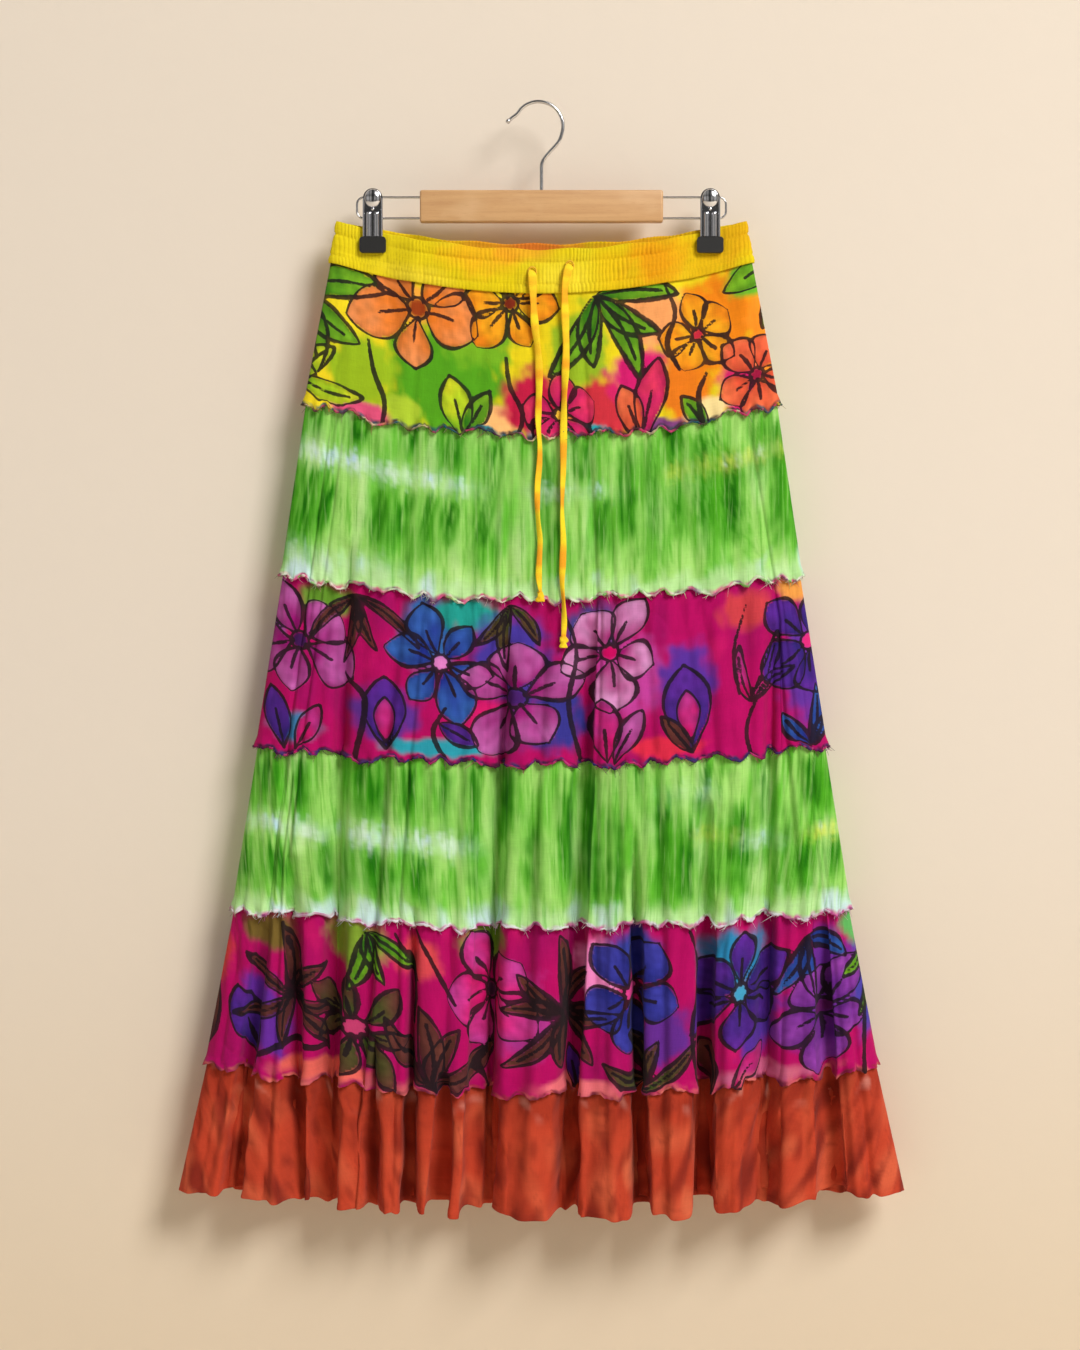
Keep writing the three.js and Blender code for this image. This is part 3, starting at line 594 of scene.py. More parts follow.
class Painting:
    def __init__(self, across, down, ground, seed):
        self.a, self.d, self.seed = across, down, seed
        self.colour = np.ones(across.shape + (3,)) * dye(*ground)
        self.outline = np.full(across.shape, 9.0)
        self.brush = np.full(across.shape, 30.0)
        self.wander = waves(across, down, 26, seed)
        self.ragged = waves(across, down, 9, seed + 1)

    def blend(self, mask, colour):
        self.colour += np.clip(mask, 0, 1)[..., None] * (dye(*colour) - self.colour)

    def mottle(self, strength, size, number, stretch, low, high, colour):
        """A layer of one colour, where soft noise of one size is high."""
        field = waves(self.a, self.d, size, self.seed + number, stretch)
        self.blend(strength * smooth(field, low, high), colour)

    def wash(self, a, d, wide, high, colour, soft=0.45, strength=1.0):
        away = np.hypot((self.a - a) / wide, (self.d - d) / high) + 0.16 * self.wander + 0.06 * self.ragged
        self.blend(strength * (1 - smooth(away, 1 - soft, 1 + 0.4 * soft)), colour)

    def stroke(self, points, thick):
        """An ink line through the points, thin at both ends."""
        thick = thick * BOLD
        route = smooth_route([(*p, 0) for p in points], 6)[:, :2]
        for i, (p, q) in enumerate(zip(route, route[1:])):
            t = i / len(route)
            width = thick * (0.5 + 0.5 * math.sin(math.pi * (0.08 + 0.84 * t))) / 2
            run = q - p
            at = np.clip(((self.a - p[0]) * run[0] + (self.d - p[1]) * run[1]) / (run @ run + 1e-9), 0, 1)
            away = np.hypot(self.a - p[0] - at * run[0], self.d - p[1] - at * run[1]) - width
            self.brush = np.minimum(self.brush, away)

    def enclose(self, away, thick):
        """Draw a closed line where away is 0."""
        turned = np.where(self.outline < 0, -1, 1) * np.where(away < 0, -1, 1)
        self.outline = turned * np.minimum(np.abs(self.outline), np.abs(away) / thick)

    def petal(self, base, tip, width, colours, thick, fullness, vein, bend=0.0):
        """A petal or leaf. Its colour runs from the first at its base to the second at its tip."""
        base, tip = np.array(base, float), np.array(tip, float)
        size = np.linalg.norm(tip - base)
        way = (tip - base) / size
        t = ((self.a - base[0]) * way[0] + (self.d - base[1]) * way[1]) / size
        s = (self.a - base[0]) * way[1] - (self.d - base[1]) * way[0]
        inside = np.clip(t, 0, 1)
        s = s - bend * size * inside * (1 - inside) * 4
        half = width / 2 * np.sin(np.pi * inside**fullness) ** 0.75
        edge = np.where((t > 0) & (t < 1), np.abs(s) - half, np.hypot(size * (t - inside), s) + 0.01)
        shade = np.clip(inside + 0.25 * self.wander, 0, 1)[..., None]
        mask = smooth(-edge + 0.9 * self.ragged - 0.5, -1.2, 1.2)
        tint = dye(*colours[0]) * (1 - shade) + dye(*colours[1]) * shade
        streaks = np.sin(s / 1.9 + 2 * self.wander) * smooth(inside, 0.1, 0.5)
        tint = tint * (1 - 0.34 * np.exp(-((edge / 4) ** 2)) + 0.12 * self.ragged + 0.07 * streaks)[..., None]
        self.colour += mask[..., None] * (tint - self.colour)
        uneven = 0.7 + 0.3 * np.sin(5 * inside + self.seed + base[0])
        self.enclose(edge + 0.5 * self.wander, thick * BOLD * uneven / 2)
        if vein:
            aside = np.array([way[1], -way[0]]) * bend * size
            rib = [tuple(base + way * size * v + aside * 4 * v * (1 - v)) for v in (0.02, vein / 2, vein)]
            self.stroke(rib, 0.7 * thick)

    def flower(self, centre, radius, petals, colours, turn, width, squash, thick, heart):
        radius = radius * FULL
        for i in range(petals):
            angle = turn + 2 * math.pi * i / petals
            reach = radius * (1 + 0.14 * math.sin(2.3 * i + self.seed + centre[0]))
            way = np.array([math.cos(angle), squash * math.sin(angle)])
            base = np.array(centre) + way * radius * 0.13
            tip = np.array(centre) + way * reach
            wide = radius * width * (1 + 0.22 * math.sin(3.7 * i + centre[0]))
            blunt = 1.25 + 0.25 * math.sin(2.9 * i + centre[1])
            bend = 0.09 * math.sin(4.1 * i + centre[0])
            self.petal(base, tip, wide, colours, thick, blunt, 0.5, bend)
        away = np.hypot(self.a - centre[0], self.d - centre[1])
        self.blend(1 - smooth(away, radius * 0.1, radius * 0.18), heart)
        self.enclose(away - radius * 0.16 + 0.3 * self.ragged, 0.45 * thick)

    def spray(self, base, angle, size, leaves, colours, spread, thick, width):
        """A fan of pointed leaves from one place."""
        size = size * FULL
        for i in range(leaves):
            turn = angle + spread * (i / (leaves - 1) - 0.5)
            reach = size * (0.75 + 0.3 * math.sin(1.9 * i + self.seed + base[0]) ** 2)
            tip = (base[0] + reach * math.cos(turn), base[1] + reach * math.sin(turn))
            self.petal(base, tip, size * width, colours, thick, 0.9, 0.8, 0.08 * (-1) ** i)


# %% [markdown]
# ## Dyes and painted shade
#
# The green tiers were space dyed while folded, so the colour runs in upright streaks that stop at soft, pale
# lines. The hem is overdyed rust and mottled, and its thin creases are painted darker as painted shade. The
# band's yellow gets painted shade in the grooves between its ribs.


# %% Green, rust and yellow dye, with painted shade in the rust's creases and the band's grooves
PALE, PALE_BLUE, PALE_YELLOW = (200, 228, 204), (178, 212, 232), (212, 222, 92)


def green_dye(across, down, seed, lines, streaks, foot, lean):
    """lines are pale folds: a and d at the left end and at the right end, half height, strength, tint.
    streaks are darker: a, first d, last d, half width, strength. lean is their slant, left of the middle.
    foot is how high the pale zone over the lower edge reaches."""
    p = Painting(across, down, (158, 213, 110), seed)
    p.mottle(1, 40, 2, 3, 0.1, 0.9, (188, 226, 150))
    slim = waves(across, down, 15, seed + 3, 7)
    fine = waves(across, down, 6, seed + 6, 14)
    flames = waves(across, down, 44, seed + 4, 3.5) + 0.7 * slim
    p.blend(0.8 * smooth(flames, -0.15, 0.8), (100, 186, 54))
    p.blend(0.6 * smooth(fine + 0.7 * slim, 0.35, 1.1), (80, 166, 30))
    slant = lean * (1 - smooth(across, -60, 20))
    grain = smooth(waves(across + slant * down, down, 5.5, seed + 12, 22) + 0.5 * slim, -0.7, 0.5)
    bleed = 2.5 * waves(across, down, 30, seed + 7) + 1.2 * fine
    frayed = down + 7 * p.wander + 5 * fine + 9 * (grain - 0.5)
    for a, first, last, wide, strength in streaks:
        away = np.abs((across + bleed + (slant - 0.03) * (down - first) - a) / wide)
        ends = smooth(frayed, first - 9, first + 16) * (1 - smooth(frayed, last - 24, last + 12))
        loose = smooth(frayed, first - 20, first + 8) * (1 - smooth(frayed, last - 12, last + 26))
        p.blend(0.85 * strength * loose * np.exp(-((away / 2.1) ** 2)) * (0.65 + 0.35 * grain), (84, 172, 34))
        p.blend(1.1 * strength * ends * np.exp(-((away / 1.15) ** 2.6)) * (0.55 + 0.6 * grain), (48, 140, 8))
        core = ends**2 * np.exp(-((away / 0.72) ** 2.2)) * (0.2 + 0.8 * grain) * smooth(slim, -1.0, 0.4)
        p.blend(1.15 * strength * core, (24, 102, 4))
    for a0, d0, a1, d1, high, strength, tint in lines:
        t = np.clip((across - a0) / (a1 - a0), 0, 1)
        fade = smooth(across, a0 - 16, a0 + 16) * (1 - smooth(across, a1 - 26, a1 + 22))
        away = (down - d0 - (d1 - d0) * t - 4 * fine - 4 * p.ragged) / high
        patchy = 0.38 + 0.62 * smooth(waves(across, 0.2 * down, 24, seed + 8), -0.45, 0.5)
        p.blend(strength * fade * patchy * np.exp(-(away**2)), tint)
        middle = np.exp(-((away * 1.6 + 0.4) ** 2)) * smooth(slim, -0.1, 0.7)
        p.blend(strength * fade * patchy**2 * middle, PALE_BLUE)
    left = down.max() - down + 7 * p.wander + 4 * fine
    p.blend(0.75 * (1 - smooth(left, foot * 0.4, foot * 1.7)), (184, 224, 160))
    bleached = smooth(waves(across, 0.3 * down, 44, seed + 9), 0.0, 0.6)
    p.blend(0.85 * bleached * (1 - smooth(left, foot * 0.4, foot * 1.8)), (194, 220, 228))
    return p


def rust_dye(across, down, seed):
    p = Painting(across, down, (184, 64, 40), seed)
    p.mottle(0.75, 58, 2, 1.5, -0.2, 1.0, (208, 96, 64))
    p.mottle(0.95, 30, 3, 2.4, 0.0, 1.0, (126, 36, 24))
    p.mottle(0.7, 13, 4, 3, 0.4, 1.4, (116, 28, 20))
    # Darker for the first few centimetres below the top seam.
    p.blend(0.55 * (1 - smooth(down + 12 * p.wander, 8, 44)), (142, 42, 26))
    p.mottle(0.4, 40, 5, 2.6, 0.7, 1.5, (222, 128, 88))
    faded = smooth(waves(across, down, 21, seed + 6, 2), 0.4, 1.2) * (1 - smooth(down, 2, 30))
    p.blend(0.6 * faded, (226, 164, 150))
    p.mottle(0.5, 17, 8, 2.6, 0.35, 1.2, (112, 28, 18))
    # Painted shade: thin creases drawn darker, standing in for the shade inside pressed creases.
    p.blend(0.35 * crease(across, down, 22, seed + 7), (120, 34, 26))
    return p


def yellow_dye_and_groove_shade(across, down, seed, patches, ribs):
    p = Painting(across, down, (224, 202, 18), seed)
    p.mottle(0.5, 50, 2, 1, 0, 1, (228, 212, 38))
    for a, d, wide, high, colour, strength in patches:
        p.wash(a, d, wide, high, colour, 0.8, strength)
    # Painted shade: the grooves between the ribs are painted darker and more orange, as the shade that falls
    # in them.
    p.colour *= (0.76 + 0.22 * ribs**0.6)[..., None] * np.array([1, 0.95, 0.8]) ** (1 - ribs[..., None])
    return p


# %% [markdown]
# ## The prints
#
# Each garden below is one painted piece, in millimetres across from its middle and down from its seam. The
# drawing is a general garden print: round flowers, pointed sprays, buds and a few loose stems. A wash is a,
# d, half width, half height and colour. A mark is how it is drawn, and then what that takes.

# %% The yoke's garden
petal, flower, spray, stroke = Painting.petal, Painting.flower, Painting.spray, Painting.stroke
LEAF = [(46, 118, 22), (120, 176, 36)]
LIME = [(128, 186, 30), (206, 214, 40)]
PEACH = [(228, 120, 34), (224, 138, 80)]
AMBER = [(240, 174, 30), (226, 128, 22)]
PINK = [(188, 22, 100), (212, 52, 88)]
CORAL = [(208, 70, 48), (228, 112, 70)]
YOKE_WASHES = [
    (-196, 70, 50, 90, (238, 214, 34)), (-92, 88, 66, 62, (82, 158, 26)), (-62, 40, 44, 34, (116, 176, 34)),
    (-172, 92, 36, 36, (150, 184, 30)), (-132, 22, 34, 22, (240, 164, 60)),
    (-44, 122, 36, 16, (246, 186, 116)), (-6, 106, 34, 36, (188, 26, 66)), (36, 56, 30, 46, (146, 180, 36)),
    (62, 112, 42, 32, (200, 48, 62)), (94, 86, 32, 34, (208, 28, 110)), (104, 32, 40, 32, (240, 160, 96)),
    (138, 100, 26, 40, (226, 120, 26)), (170, 50, 44, 56, (228, 128, 18)), (192, 112, 26, 40, (206, 24, 104)),
    (224, 60, 30, 70, (243, 140, 34)), (204, 14, 28, 18, (104, 176, 44)), (22, 134, 40, 9, (40, 150, 160)),
    (-172, 130, 34, 9, (216, 80, 120)), (112, 134, 24, 8, (120, 60, 120)),
    (-132, 122, 20, 14, (170, 200, 50)), (160, 128, 22, 14, (240, 216, 150)),
    (-60, 136, 22, 7, (40, 120, 130)),
]  # fmt: skip
YOKE_MARKS = [
    (spray, (-236, 30), 0.55, 74, 3, LEAF, 1.5, 3, 0.34),
    (spray, (-232, 112), -0.35, 50, 2, LIME, 0.9, 2.8, 0.36),
    (stroke, [(-166, 62), (-160, 92), (-150, 118), (-154, 144)], 3.4),
    (flower, (-118, 24), 54, 5, PEACH, 0.35, 0.7, 0.95, 3.2, (150, 60, 20)),
    (petal, (-74, 140), (-88, 84), 30, LIME, 3, 1.1, 0.6),
    (petal, (-74, 140), (-50, 96), 22, LEAF, 3, 1.0, 0.7),
    (flower, (-30, 10), 42, 6, AMBER, 0.1, 0.62, 0.95, 3, (120, 40, 20)),
    (stroke, [(-34, 62), (-30, 90), (-18, 116), (-24, 144)], 3.2),
    (flower, (18, 116), 33, 5, PINK, 0.9, 0.8, 0.9, 3, (250, 200, 60)),
    (spray, (52, 4), 1.1, 76, 5, LEAF, 2.0, 3.4, 0.25),
    (petal, (96, 142), (112, 70), 30, PINK, 3, 1.15, 0.6),
    (petal, (94, 142), (76, 92), 24, CORAL, 3, 1.15, 0.6),
    (stroke, [(118, 2), (128, 30), (120, 58), (132, 84)], 3.2),
    (flower, (150, 54), 33, 5, AMBER, 0.7, 0.8, 0.95, 3.2, (190, 40, 60)),
    (stroke, [(158, 92), (150, 112), (156, 144)], 3.4),
    (petal, (158, 142), (134, 110), 18, LEAF, 2.8, 0.9, 0.8),
    (petal, (244, -6), (176, 20), 28, LEAF, 3, 1.0, 0.7),
    (petal, (246, 2), (212, 62), 24, LIME, 3, 1.0, 0.7),
    (flower, (206, 104), 36, 5, CORAL, 0.2, 0.8, 0.95, 3, (150, 20, 60)),
]

# %% The berry tiers' garden
VIOLET = [(46, 30, 112), (88, 36, 146)]
ROSE = [(186, 4, 92), (170, 48, 132)]
ORCHID = [(142, 14, 108), (182, 92, 166)]
BLUE = [(30, 44, 136), (48, 92, 168)]
SEPIA = [(74, 32, 40), (104, 56, 46)]
MOSS = [(58, 80, 30), (96, 52, 46)]
BERRY = (172, 4, 92)
THIRD_WASHES = [
    (-262, 30, 26, 36, (150, 80, 160)), (-206, 16, 30, 16, (92, 140, 40)), (-150, 120, 36, 30, (90, 44, 140)),
    (-108, 36, 30, 40, (44, 96, 164)), (-70, 16, 34, 20, (30, 150, 140)), (-30, 60, 44, 50, (66, 50, 150)),
    (10, 120, 40, 34, (52, 50, 140)), (-56, 126, 34, 28, (204, 20, 104)), (52, 30, 34, 26, (60, 60, 130)),
    (86, 80, 40, 44, (184, 60, 150)), (140, 90, 30, 44, (84, 44, 150)), (196, 24, 28, 20, (196, 60, 70)),
    (262, 80, 30, 70, (92, 44, 148)), (284, 20, 16, 30, (40, 130, 160)), (248, 10, 22, 16, (224, 150, 70)),
    (-240, 140, 30, 16, (60, 120, 170)), (-96, 150, 60, 10, (40, 150, 170)),
    (120, 150, 40, 12, (212, 40, 70)),
]  # fmt: skip
THIRD_MARKS = [
    (flower, (-232, 58), 46, 5, ORCHID, 0.5, 0.8, 1.05, 3, (60, 20, 80)),
    (petal, (-250, 158), (-262, 104), 26, VIOLET, 3, 1.1, 0.6),
    (petal, (-238, 160), (-214, 118), 20, ROSE, 2.8, 1.1, 0.6),
    (spray, (-176, 8), 1.5, 60, 4, SEPIA, 1.7, 2.6, 0.16),
    (stroke, [(-188, 84), (-168, 108), (-176, 160)], 3.4),
    (petal, (-150, 154), (-150, 84), 40, VIOLET, 3.2, 1.25, 0.0),
    (petal, (-150, 148), (-150, 104), 20, ROSE, 2.4, 1.25, 0.0),
    (flower, (-96, 66), 44, 6, BLUE, 0.2, 0.62, 1.1, 3, (210, 120, 190)),
    (stroke, [(-92, 110), (-104, 136), (-90, 168)], 3.2),
    (petal, (-98, 126), (-62, 146), 20, VIOLET, 2.8, 1.0, 0.8),
    (spray, (-30, 6), 1.6, 54, 3, MOSS, 1.3, 2.6, 0.2),
    (flower, (-22, 98), 50, 5, ORCHID, 0.95, 0.78, 1.05, 3.2, (70, 30, 110)),
    (stroke, [(20, 10), (34, 52), (26, 104), (38, 166)], 3.2),
    (flower, (66, 54), 42, 5, [(150, 20, 104), (208, 142, 196)], 0.3, 0.8, 1.1, 3.2, (190, 0, 90)),
    (petal, (66, 160), (60, 100), 30, ROSE, 3, 1.15, 0.5),
    (petal, (72, 160), (98, 112), 22, ORCHID, 2.8, 1.1, 0.6),
    (petal, (146, 156), (136, 72), 46, VIOLET, 3.4, 1.25, 0.0),
    (petal, (145, 146), (139, 96), 22, ROSE, 2.4, 1.25, 0.0),
    (petal, (146, 156), (116, 120), 16, SEPIA, 2.8, 0.9, 0.8),
    (stroke, [(196, 20), (184, 62), (190, 104)], 2.4),
    (spray, (202, 112), -1.2, 56, 3, ROSE, 1.2, 2.6, 0.2),
    (stroke, [(206, 112), (198, 140), (204, 168)], 3),
    (flower, (258, 62), 44, 5, VIOLET, 0.1, 0.8, 1.1, 3, (210, 40, 120)),
    (spray, (262, 160), -1.5, 46, 3, BLUE, 1.5, 2.8, 0.26),
]
FIFTH_WASHES = [
    (-350, 40, 30, 30, (206, 60, 60)), (-300, 96, 30, 40, (96, 40, 150)), (-280, 16, 30, 18, (110, 90, 40)),
    (-190, 20, 34, 26, (126, 160, 50)), (-130, 30, 26, 20, (212, 70, 80)), (-60, 16, 30, 20, (100, 140, 40)),
    (-20, 80, 34, 40, (170, 50, 140)), (60, 40, 26, 30, (230, 130, 190)), (96, 24, 30, 24, (50, 60, 150)),
    (130, 100, 30, 30, (96, 40, 140)), (200, 36, 40, 30, (40, 130, 180)), (236, 90, 34, 44, (80, 44, 150)),
    (300, 70, 34, 60, (104, 40, 148)), (350, 60, 26, 60, (70, 60, 160)), (330, 14, 26, 18, (90, 170, 90)),
    (-240, 140, 60, 10, (224, 100, 90)), (40, 144, 50, 9, (226, 110, 120)), (250, 142, 60, 9, (190, 90, 130)),
]  # fmt: skip
FIFTH_MARKS = [
    (petal, (-372, 130), (-346, 66), 22, SEPIA, 3, 0.9, 0.8),
    (petal, (-318, 138), (-322, 70), 30, VIOLET, 3, 1.2, 0.5),
    (stroke, [(-318, 134), (-280, 118), (-240, 122)], 4),
    (spray, (-268, 74), 0.2, 54, 7, SEPIA, 5.2, 2.8, 0.2),
    (flower, (-196, 96), 46, 7, MOSS, 0.2, 0.36, 1.0, 3, (190, 60, 110)),
    (spray, (-178, 8), 1.3, 52, 3, LEAF, 1.2, 2.6, 0.22),
    (stroke, [(-150, 8), (-132, 50), (-136, 92)], 3.2),
    (stroke, [(-128, 6), (-110, 44), (-96, 70)], 2.8),
    (spray, (-124, 146), -1.35, 66, 4, SEPIA, 1.7, 3, 0.26),
    (flower, (-56, 62), 44, 5, [(204, 6, 100), (190, 60, 150)], 0.6, 0.78, 1.05, 3, (70, 30, 60)),
    (stroke, [(-60, 106), (-76, 128), (-64, 152)], 3.4),
    (spray, (18, 78), 0.4, 58, 8, SEPIA, 5.6, 3, 0.22),
    (petal, (40, 150), (28, 112), 18, VIOLET, 2.8, 1.1, 0.6),
    (flower, (94, 60), 42, 5, [(28, 34, 120), (60, 60, 160)], 0.25, 0.78, 1.05, 3, (214, 60, 140)),
    (spray, (118, 148), -1.7, 50, 4, MOSS, 1.9, 2.8, 0.22),
    (stroke, [(150, 6), (166, 46), (158, 96), (170, 150)], 3),
    (flower, (210, 66), 46, 6, VIOLET, 0.5, 0.62, 1.05, 3.2, (60, 150, 190)),
    (petal, (196, 150), (176, 112), 20, SEPIA, 2.8, 0.9, 0.8),
    (petal, (214, 152), (242, 118), 22, ROSE, 2.8, 1.1, 0.6),
    (spray, (276, 20), 1.2, 56, 3, BLUE, 1.4, 2.8, 0.24),
    (flower, (306, 92), 42, 5, [(92, 30, 130), (140, 60, 160)], 0.2, 0.8, 1.0, 3, (90, 20, 90)),
    (spray, (356, 40), 2.2, 50, 2, LEAF, 0.8, 2.8, 0.26),
    (stroke, [(356, 36), (348, 90), (358, 150)], 3),
]
GARDENS = {
    "yoke": (21, (226, 206, 26), 0.32, YOKE_WASHES, YOKE_MARKS),
    "tier_3": (33, BERRY, 0.4, THIRD_WASHES, THIRD_MARKS),
    "tier_5": (57, BERRY, 0.4, FIFTH_WASHES, FIFTH_MARKS),
}


def paint_garden(key, across, down):
    seed, ground, soft, washes, marks = GARDENS[key]
    p = Painting(across, down, ground, seed)
    if ground == BERRY:
        p.mottle(0.7, 60, 2, 2, 0.0, 1.0, (150, 8, 92))
        p.mottle(0.5, 34, 3, 2, 0.5, 1.4, (206, 24, 106))
    for wash in washes:
        p.wash(*wash, soft)
    for draw, *values in marks:
        draw(p, *values)
    return p


# %% [markdown]
# ## Sewing the tiers
#
# A tier is one row of points for every few millimetres of drop, each row worked out on the formula of the
# surface and then pushed out along it by the tier's own waves. The front and the back are two pieces, as they
# are cut, and their waves fade out at the side seams so that the two meet. Solidify then gives the sheet its
# thickness.

# %% Make one sheet of cloth
CLOTH = 0.6  # its thickness
FAR = 30.0  # a distance at which no stitching shows


def sheet(name, side, drops, columns, push, paint, seam_at=()):
    """push(across, drop, x) gives the way out, the way down and the way out at the side seams, at each point.
    paint(across, drop) gives the dyes, any painted shade and the ink."""
    rows = [section(side, drop, columns) for drop in drops]
    points, outs = np.array([r[0] for r in rows]), np.array([r[1] for r in rows])
    across = np.array([r[2] for r in rows])
    drop = np.array(drops)[:, None] + 0 * across
    to_side = np.abs(across[:, :1]) - np.abs(across)
    out, fall, rim = push(across, drop, points[..., 0])
    inner = smooth(to_side, 0, 12)
    share = np.linspace(0, 1, columns + 1)[None] + 0 * drop
    sunk = drape(side, share, drop) * smooth(to_side, 4, 46) * (1 - pinched(points[..., 0], drop))
    points = points + outs * (out * inner + rim * (1 - inner) - sunk + lift_of(name, drop))[..., None]
    hung = 0.55 * sunk * smooth(drop, 850, 930)
    points[..., 2] -= (fall - hung) * inner
    painted = paint(across, drop)
    count, wide = len(drops), columns + 1
    cell = np.arange(count * wide).reshape(count, wide)
    faces = np.stack([cell[:-1, :-1], cell[1:, :-1], cell[1:, 1:], cell[:-1, 1:]], -1).reshape(-1, 4)
    if side.sign > 0:
        faces = faces[:, ::-1]
    seam = np.min([0 * drop + FAR, *(np.abs(drop - s) for s in seam_at)], axis=0)
    cloth = np.stack([across, drop, 0 * drop], -1).reshape(-1, 3) / 1000
    dyed = {
        "paint": painted.colour.reshape(-1, 3), "outline": painted.outline.ravel(),
        "brush": painted.brush.ravel(), "seam": seam.ravel(),
    }  # fmt: skip
    made = piece_from(f"{name}_cloth", points.reshape(-1, 3), faces, cloth=cloth, **dyed)
    wall = made.modifiers.new("wall", "SOLIDIFY")
    wall.thickness = CLOTH / 1000
    wall.offset = 0
    bpy.context.view_layer.objects.active = made
    bpy.ops.object.modifier_apply(modifier="wall")
    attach(made, "root")
    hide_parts(name)
    print(name, "triangles:", 2 * len(made.data.polygons))
    return made, {"points": points[-1], "outs": outs[-1], "paint": painted.colour[-1], "across": across[-1]}


def spread(start, stop, step):
    return list(np.linspace(start, stop, max(2, round((stop - start) / step) + 1)))


# %% [markdown]
# The tiers are listed once, with the drops of their top seam and their lower edge. All but the lowest end in
# a raw edge that was overlocked with a stretched stitch, so it waves, and stands out over the tier below.

# %% How far each tier stands out, and its waves
TIERS = {
    "yoke": (40, 176), "tier_2": (176, 340), "tier_3": (340, 504), "tier_4": (504, 659), "tier_5": (659, 810),
    "hem_flounce": (810, 930),
}  # fmt: skip


def lift_of(name, drop):
    key = name.rsplit("_", 1)[0]
    if key == "waistband":
        return np.interp(drop, [24, 32], [0, LAP_LIFT])
    top, edge = TIERS[key]
    if key == "hem_flounce":
        return 0 * drop
    return np.interp(drop, [top, edge - 10], [0, LAP_LIFT])


def tier_push(key, seed, gather, wrinkle):
    top, edge = TIERS[key]
    rng = np.random.default_rng(seed + 9)
    p = rng.uniform(0, 6.28, 6)

    def push(across, drop, x):
        down = drop - top
        out = gather * gathers(across, down, seed) * (1 - pinched(x, drop))
        rumpled = 0.8 * waves(across, drop, 38, seed + 1, 1.8) - 1.1 * crease(across, drop, 46, seed + 2, 2.2)
        out = out + wrinkle * rumpled
        fall, rim = 0 * out, 0 * out
        if key != "hem_flounce":
            lip = smooth(drop, edge - 12, edge)
            roll = smooth(drop, edge - 2.5, edge)
            curl = np.sin(2 * np.pi * across / 13.5 + 1.9 * np.sin(across / 23 + p[0]))
            tight = np.sin(2 * np.pi * across / 5.6 + 2.2 * np.sin(across / 9 + p[1]))
            out = out * (1 - 0.6 * lip) + lip * (1.6 + 1.7 * curl) + roll * (0.4 + 0.6 * tight)
            swing = 2.9 * np.sin(2 * np.pi * across / 29 + p[2] + 1.4 * np.sin(across / 17))
            swing = swing + 0.9 * curl + 0.5 * tight
            fall = lip * (swing + 2.2 * np.sin(across / 19 + p[3] + np.sin(across / 31)))
            rim = 2.2 * lip
        else:
            band = smooth(drop, edge - 7, edge - 6)
            out = out + 0.4 * band - 0.6 * np.exp(-(((drop - edge + 6.5) / 0.9) ** 2))
            fall = smooth(drop, edge - 40, edge) * 3.4 * waves(across, 0 * across, 60, seed + 4)
        out = np.maximum(out, -2.4 + 2.35 * (1 - smooth(down, 0, 34)))
        return out, fall, rim

    return push


# %% Sew the six tiers, front and back
THREADS = {
    "yoke": [(78, 42, 62), (30, 92, 104), (56, 36, 46), (196, 66, 108), (206, 190, 150)],
    "tier_2": [(224, 222, 208), (112, 58, 104), (206, 60, 128), (98, 160, 66), (210, 214, 196)],
    "tier_3": [(42, 24, 62), (28, 50, 108), (66, 18, 48), (190, 60, 116), (60, 30, 80)],
    "tier_4": [(226, 218, 230), (206, 200, 214), (188, 62, 138), (104, 40, 88), (220, 214, 226)],
    "tier_5": [(150, 40, 60), (214, 110, 100), (96, 30, 50)],
}  # fmt: skip


def speckled_edge(p, down_left, key):
    """The overlocked edge's threads, which mix the colours of both tiers."""
    near = 1 - smooth(down_left + 0.5 * p.ragged, 1.6, 4.4)
    for number, thread in enumerate(THREADS[key][:3]):
        p.blend(0.85 * near * smooth(waves(p.a, p.d, 6 + 5 * number, 90 + number), -0.2, 0.5), thread)


GREEN_LINES = {
    ("tier_2", "front"): [
        (-262, 38, -66, 55, 8, 1.0, PALE), (-10, 56, 66, 58, 7, 0.4, PALE),
        (-250, 140, -140, 146, 11, 0.7, PALE), (120, 46, 250, 40, 8, 0.5, PALE_YELLOW),
    ],
    ("tier_2", "back"): [(-240, 60, -40, 48, 9, 0.8, PALE), (10, 84, 240, 70, 9, 0.7, PALE)],
    ("tier_4", "front"): [
        (-310, 68, -206, 74, 8, 0.9, PALE), (-190, 72, -70, 80, 9, 1.0, PALE),
        (258, 78, 316, 80, 7, 0.7, PALE_YELLOW), (150, 72, 190, 74, 7, 0.5, PALE_YELLOW),
        (200, 80, 240, 84, 8, 0.5, PALE), (120, 30, 170, 34, 10, 0.3, PALE),
    ],
    ("tier_4", "back"): [(-300, 70, -60, 62, 9, 0.9, PALE), (-30, 78, 290, 66, 9, 0.7, PALE_YELLOW)],
}  # fmt: skip
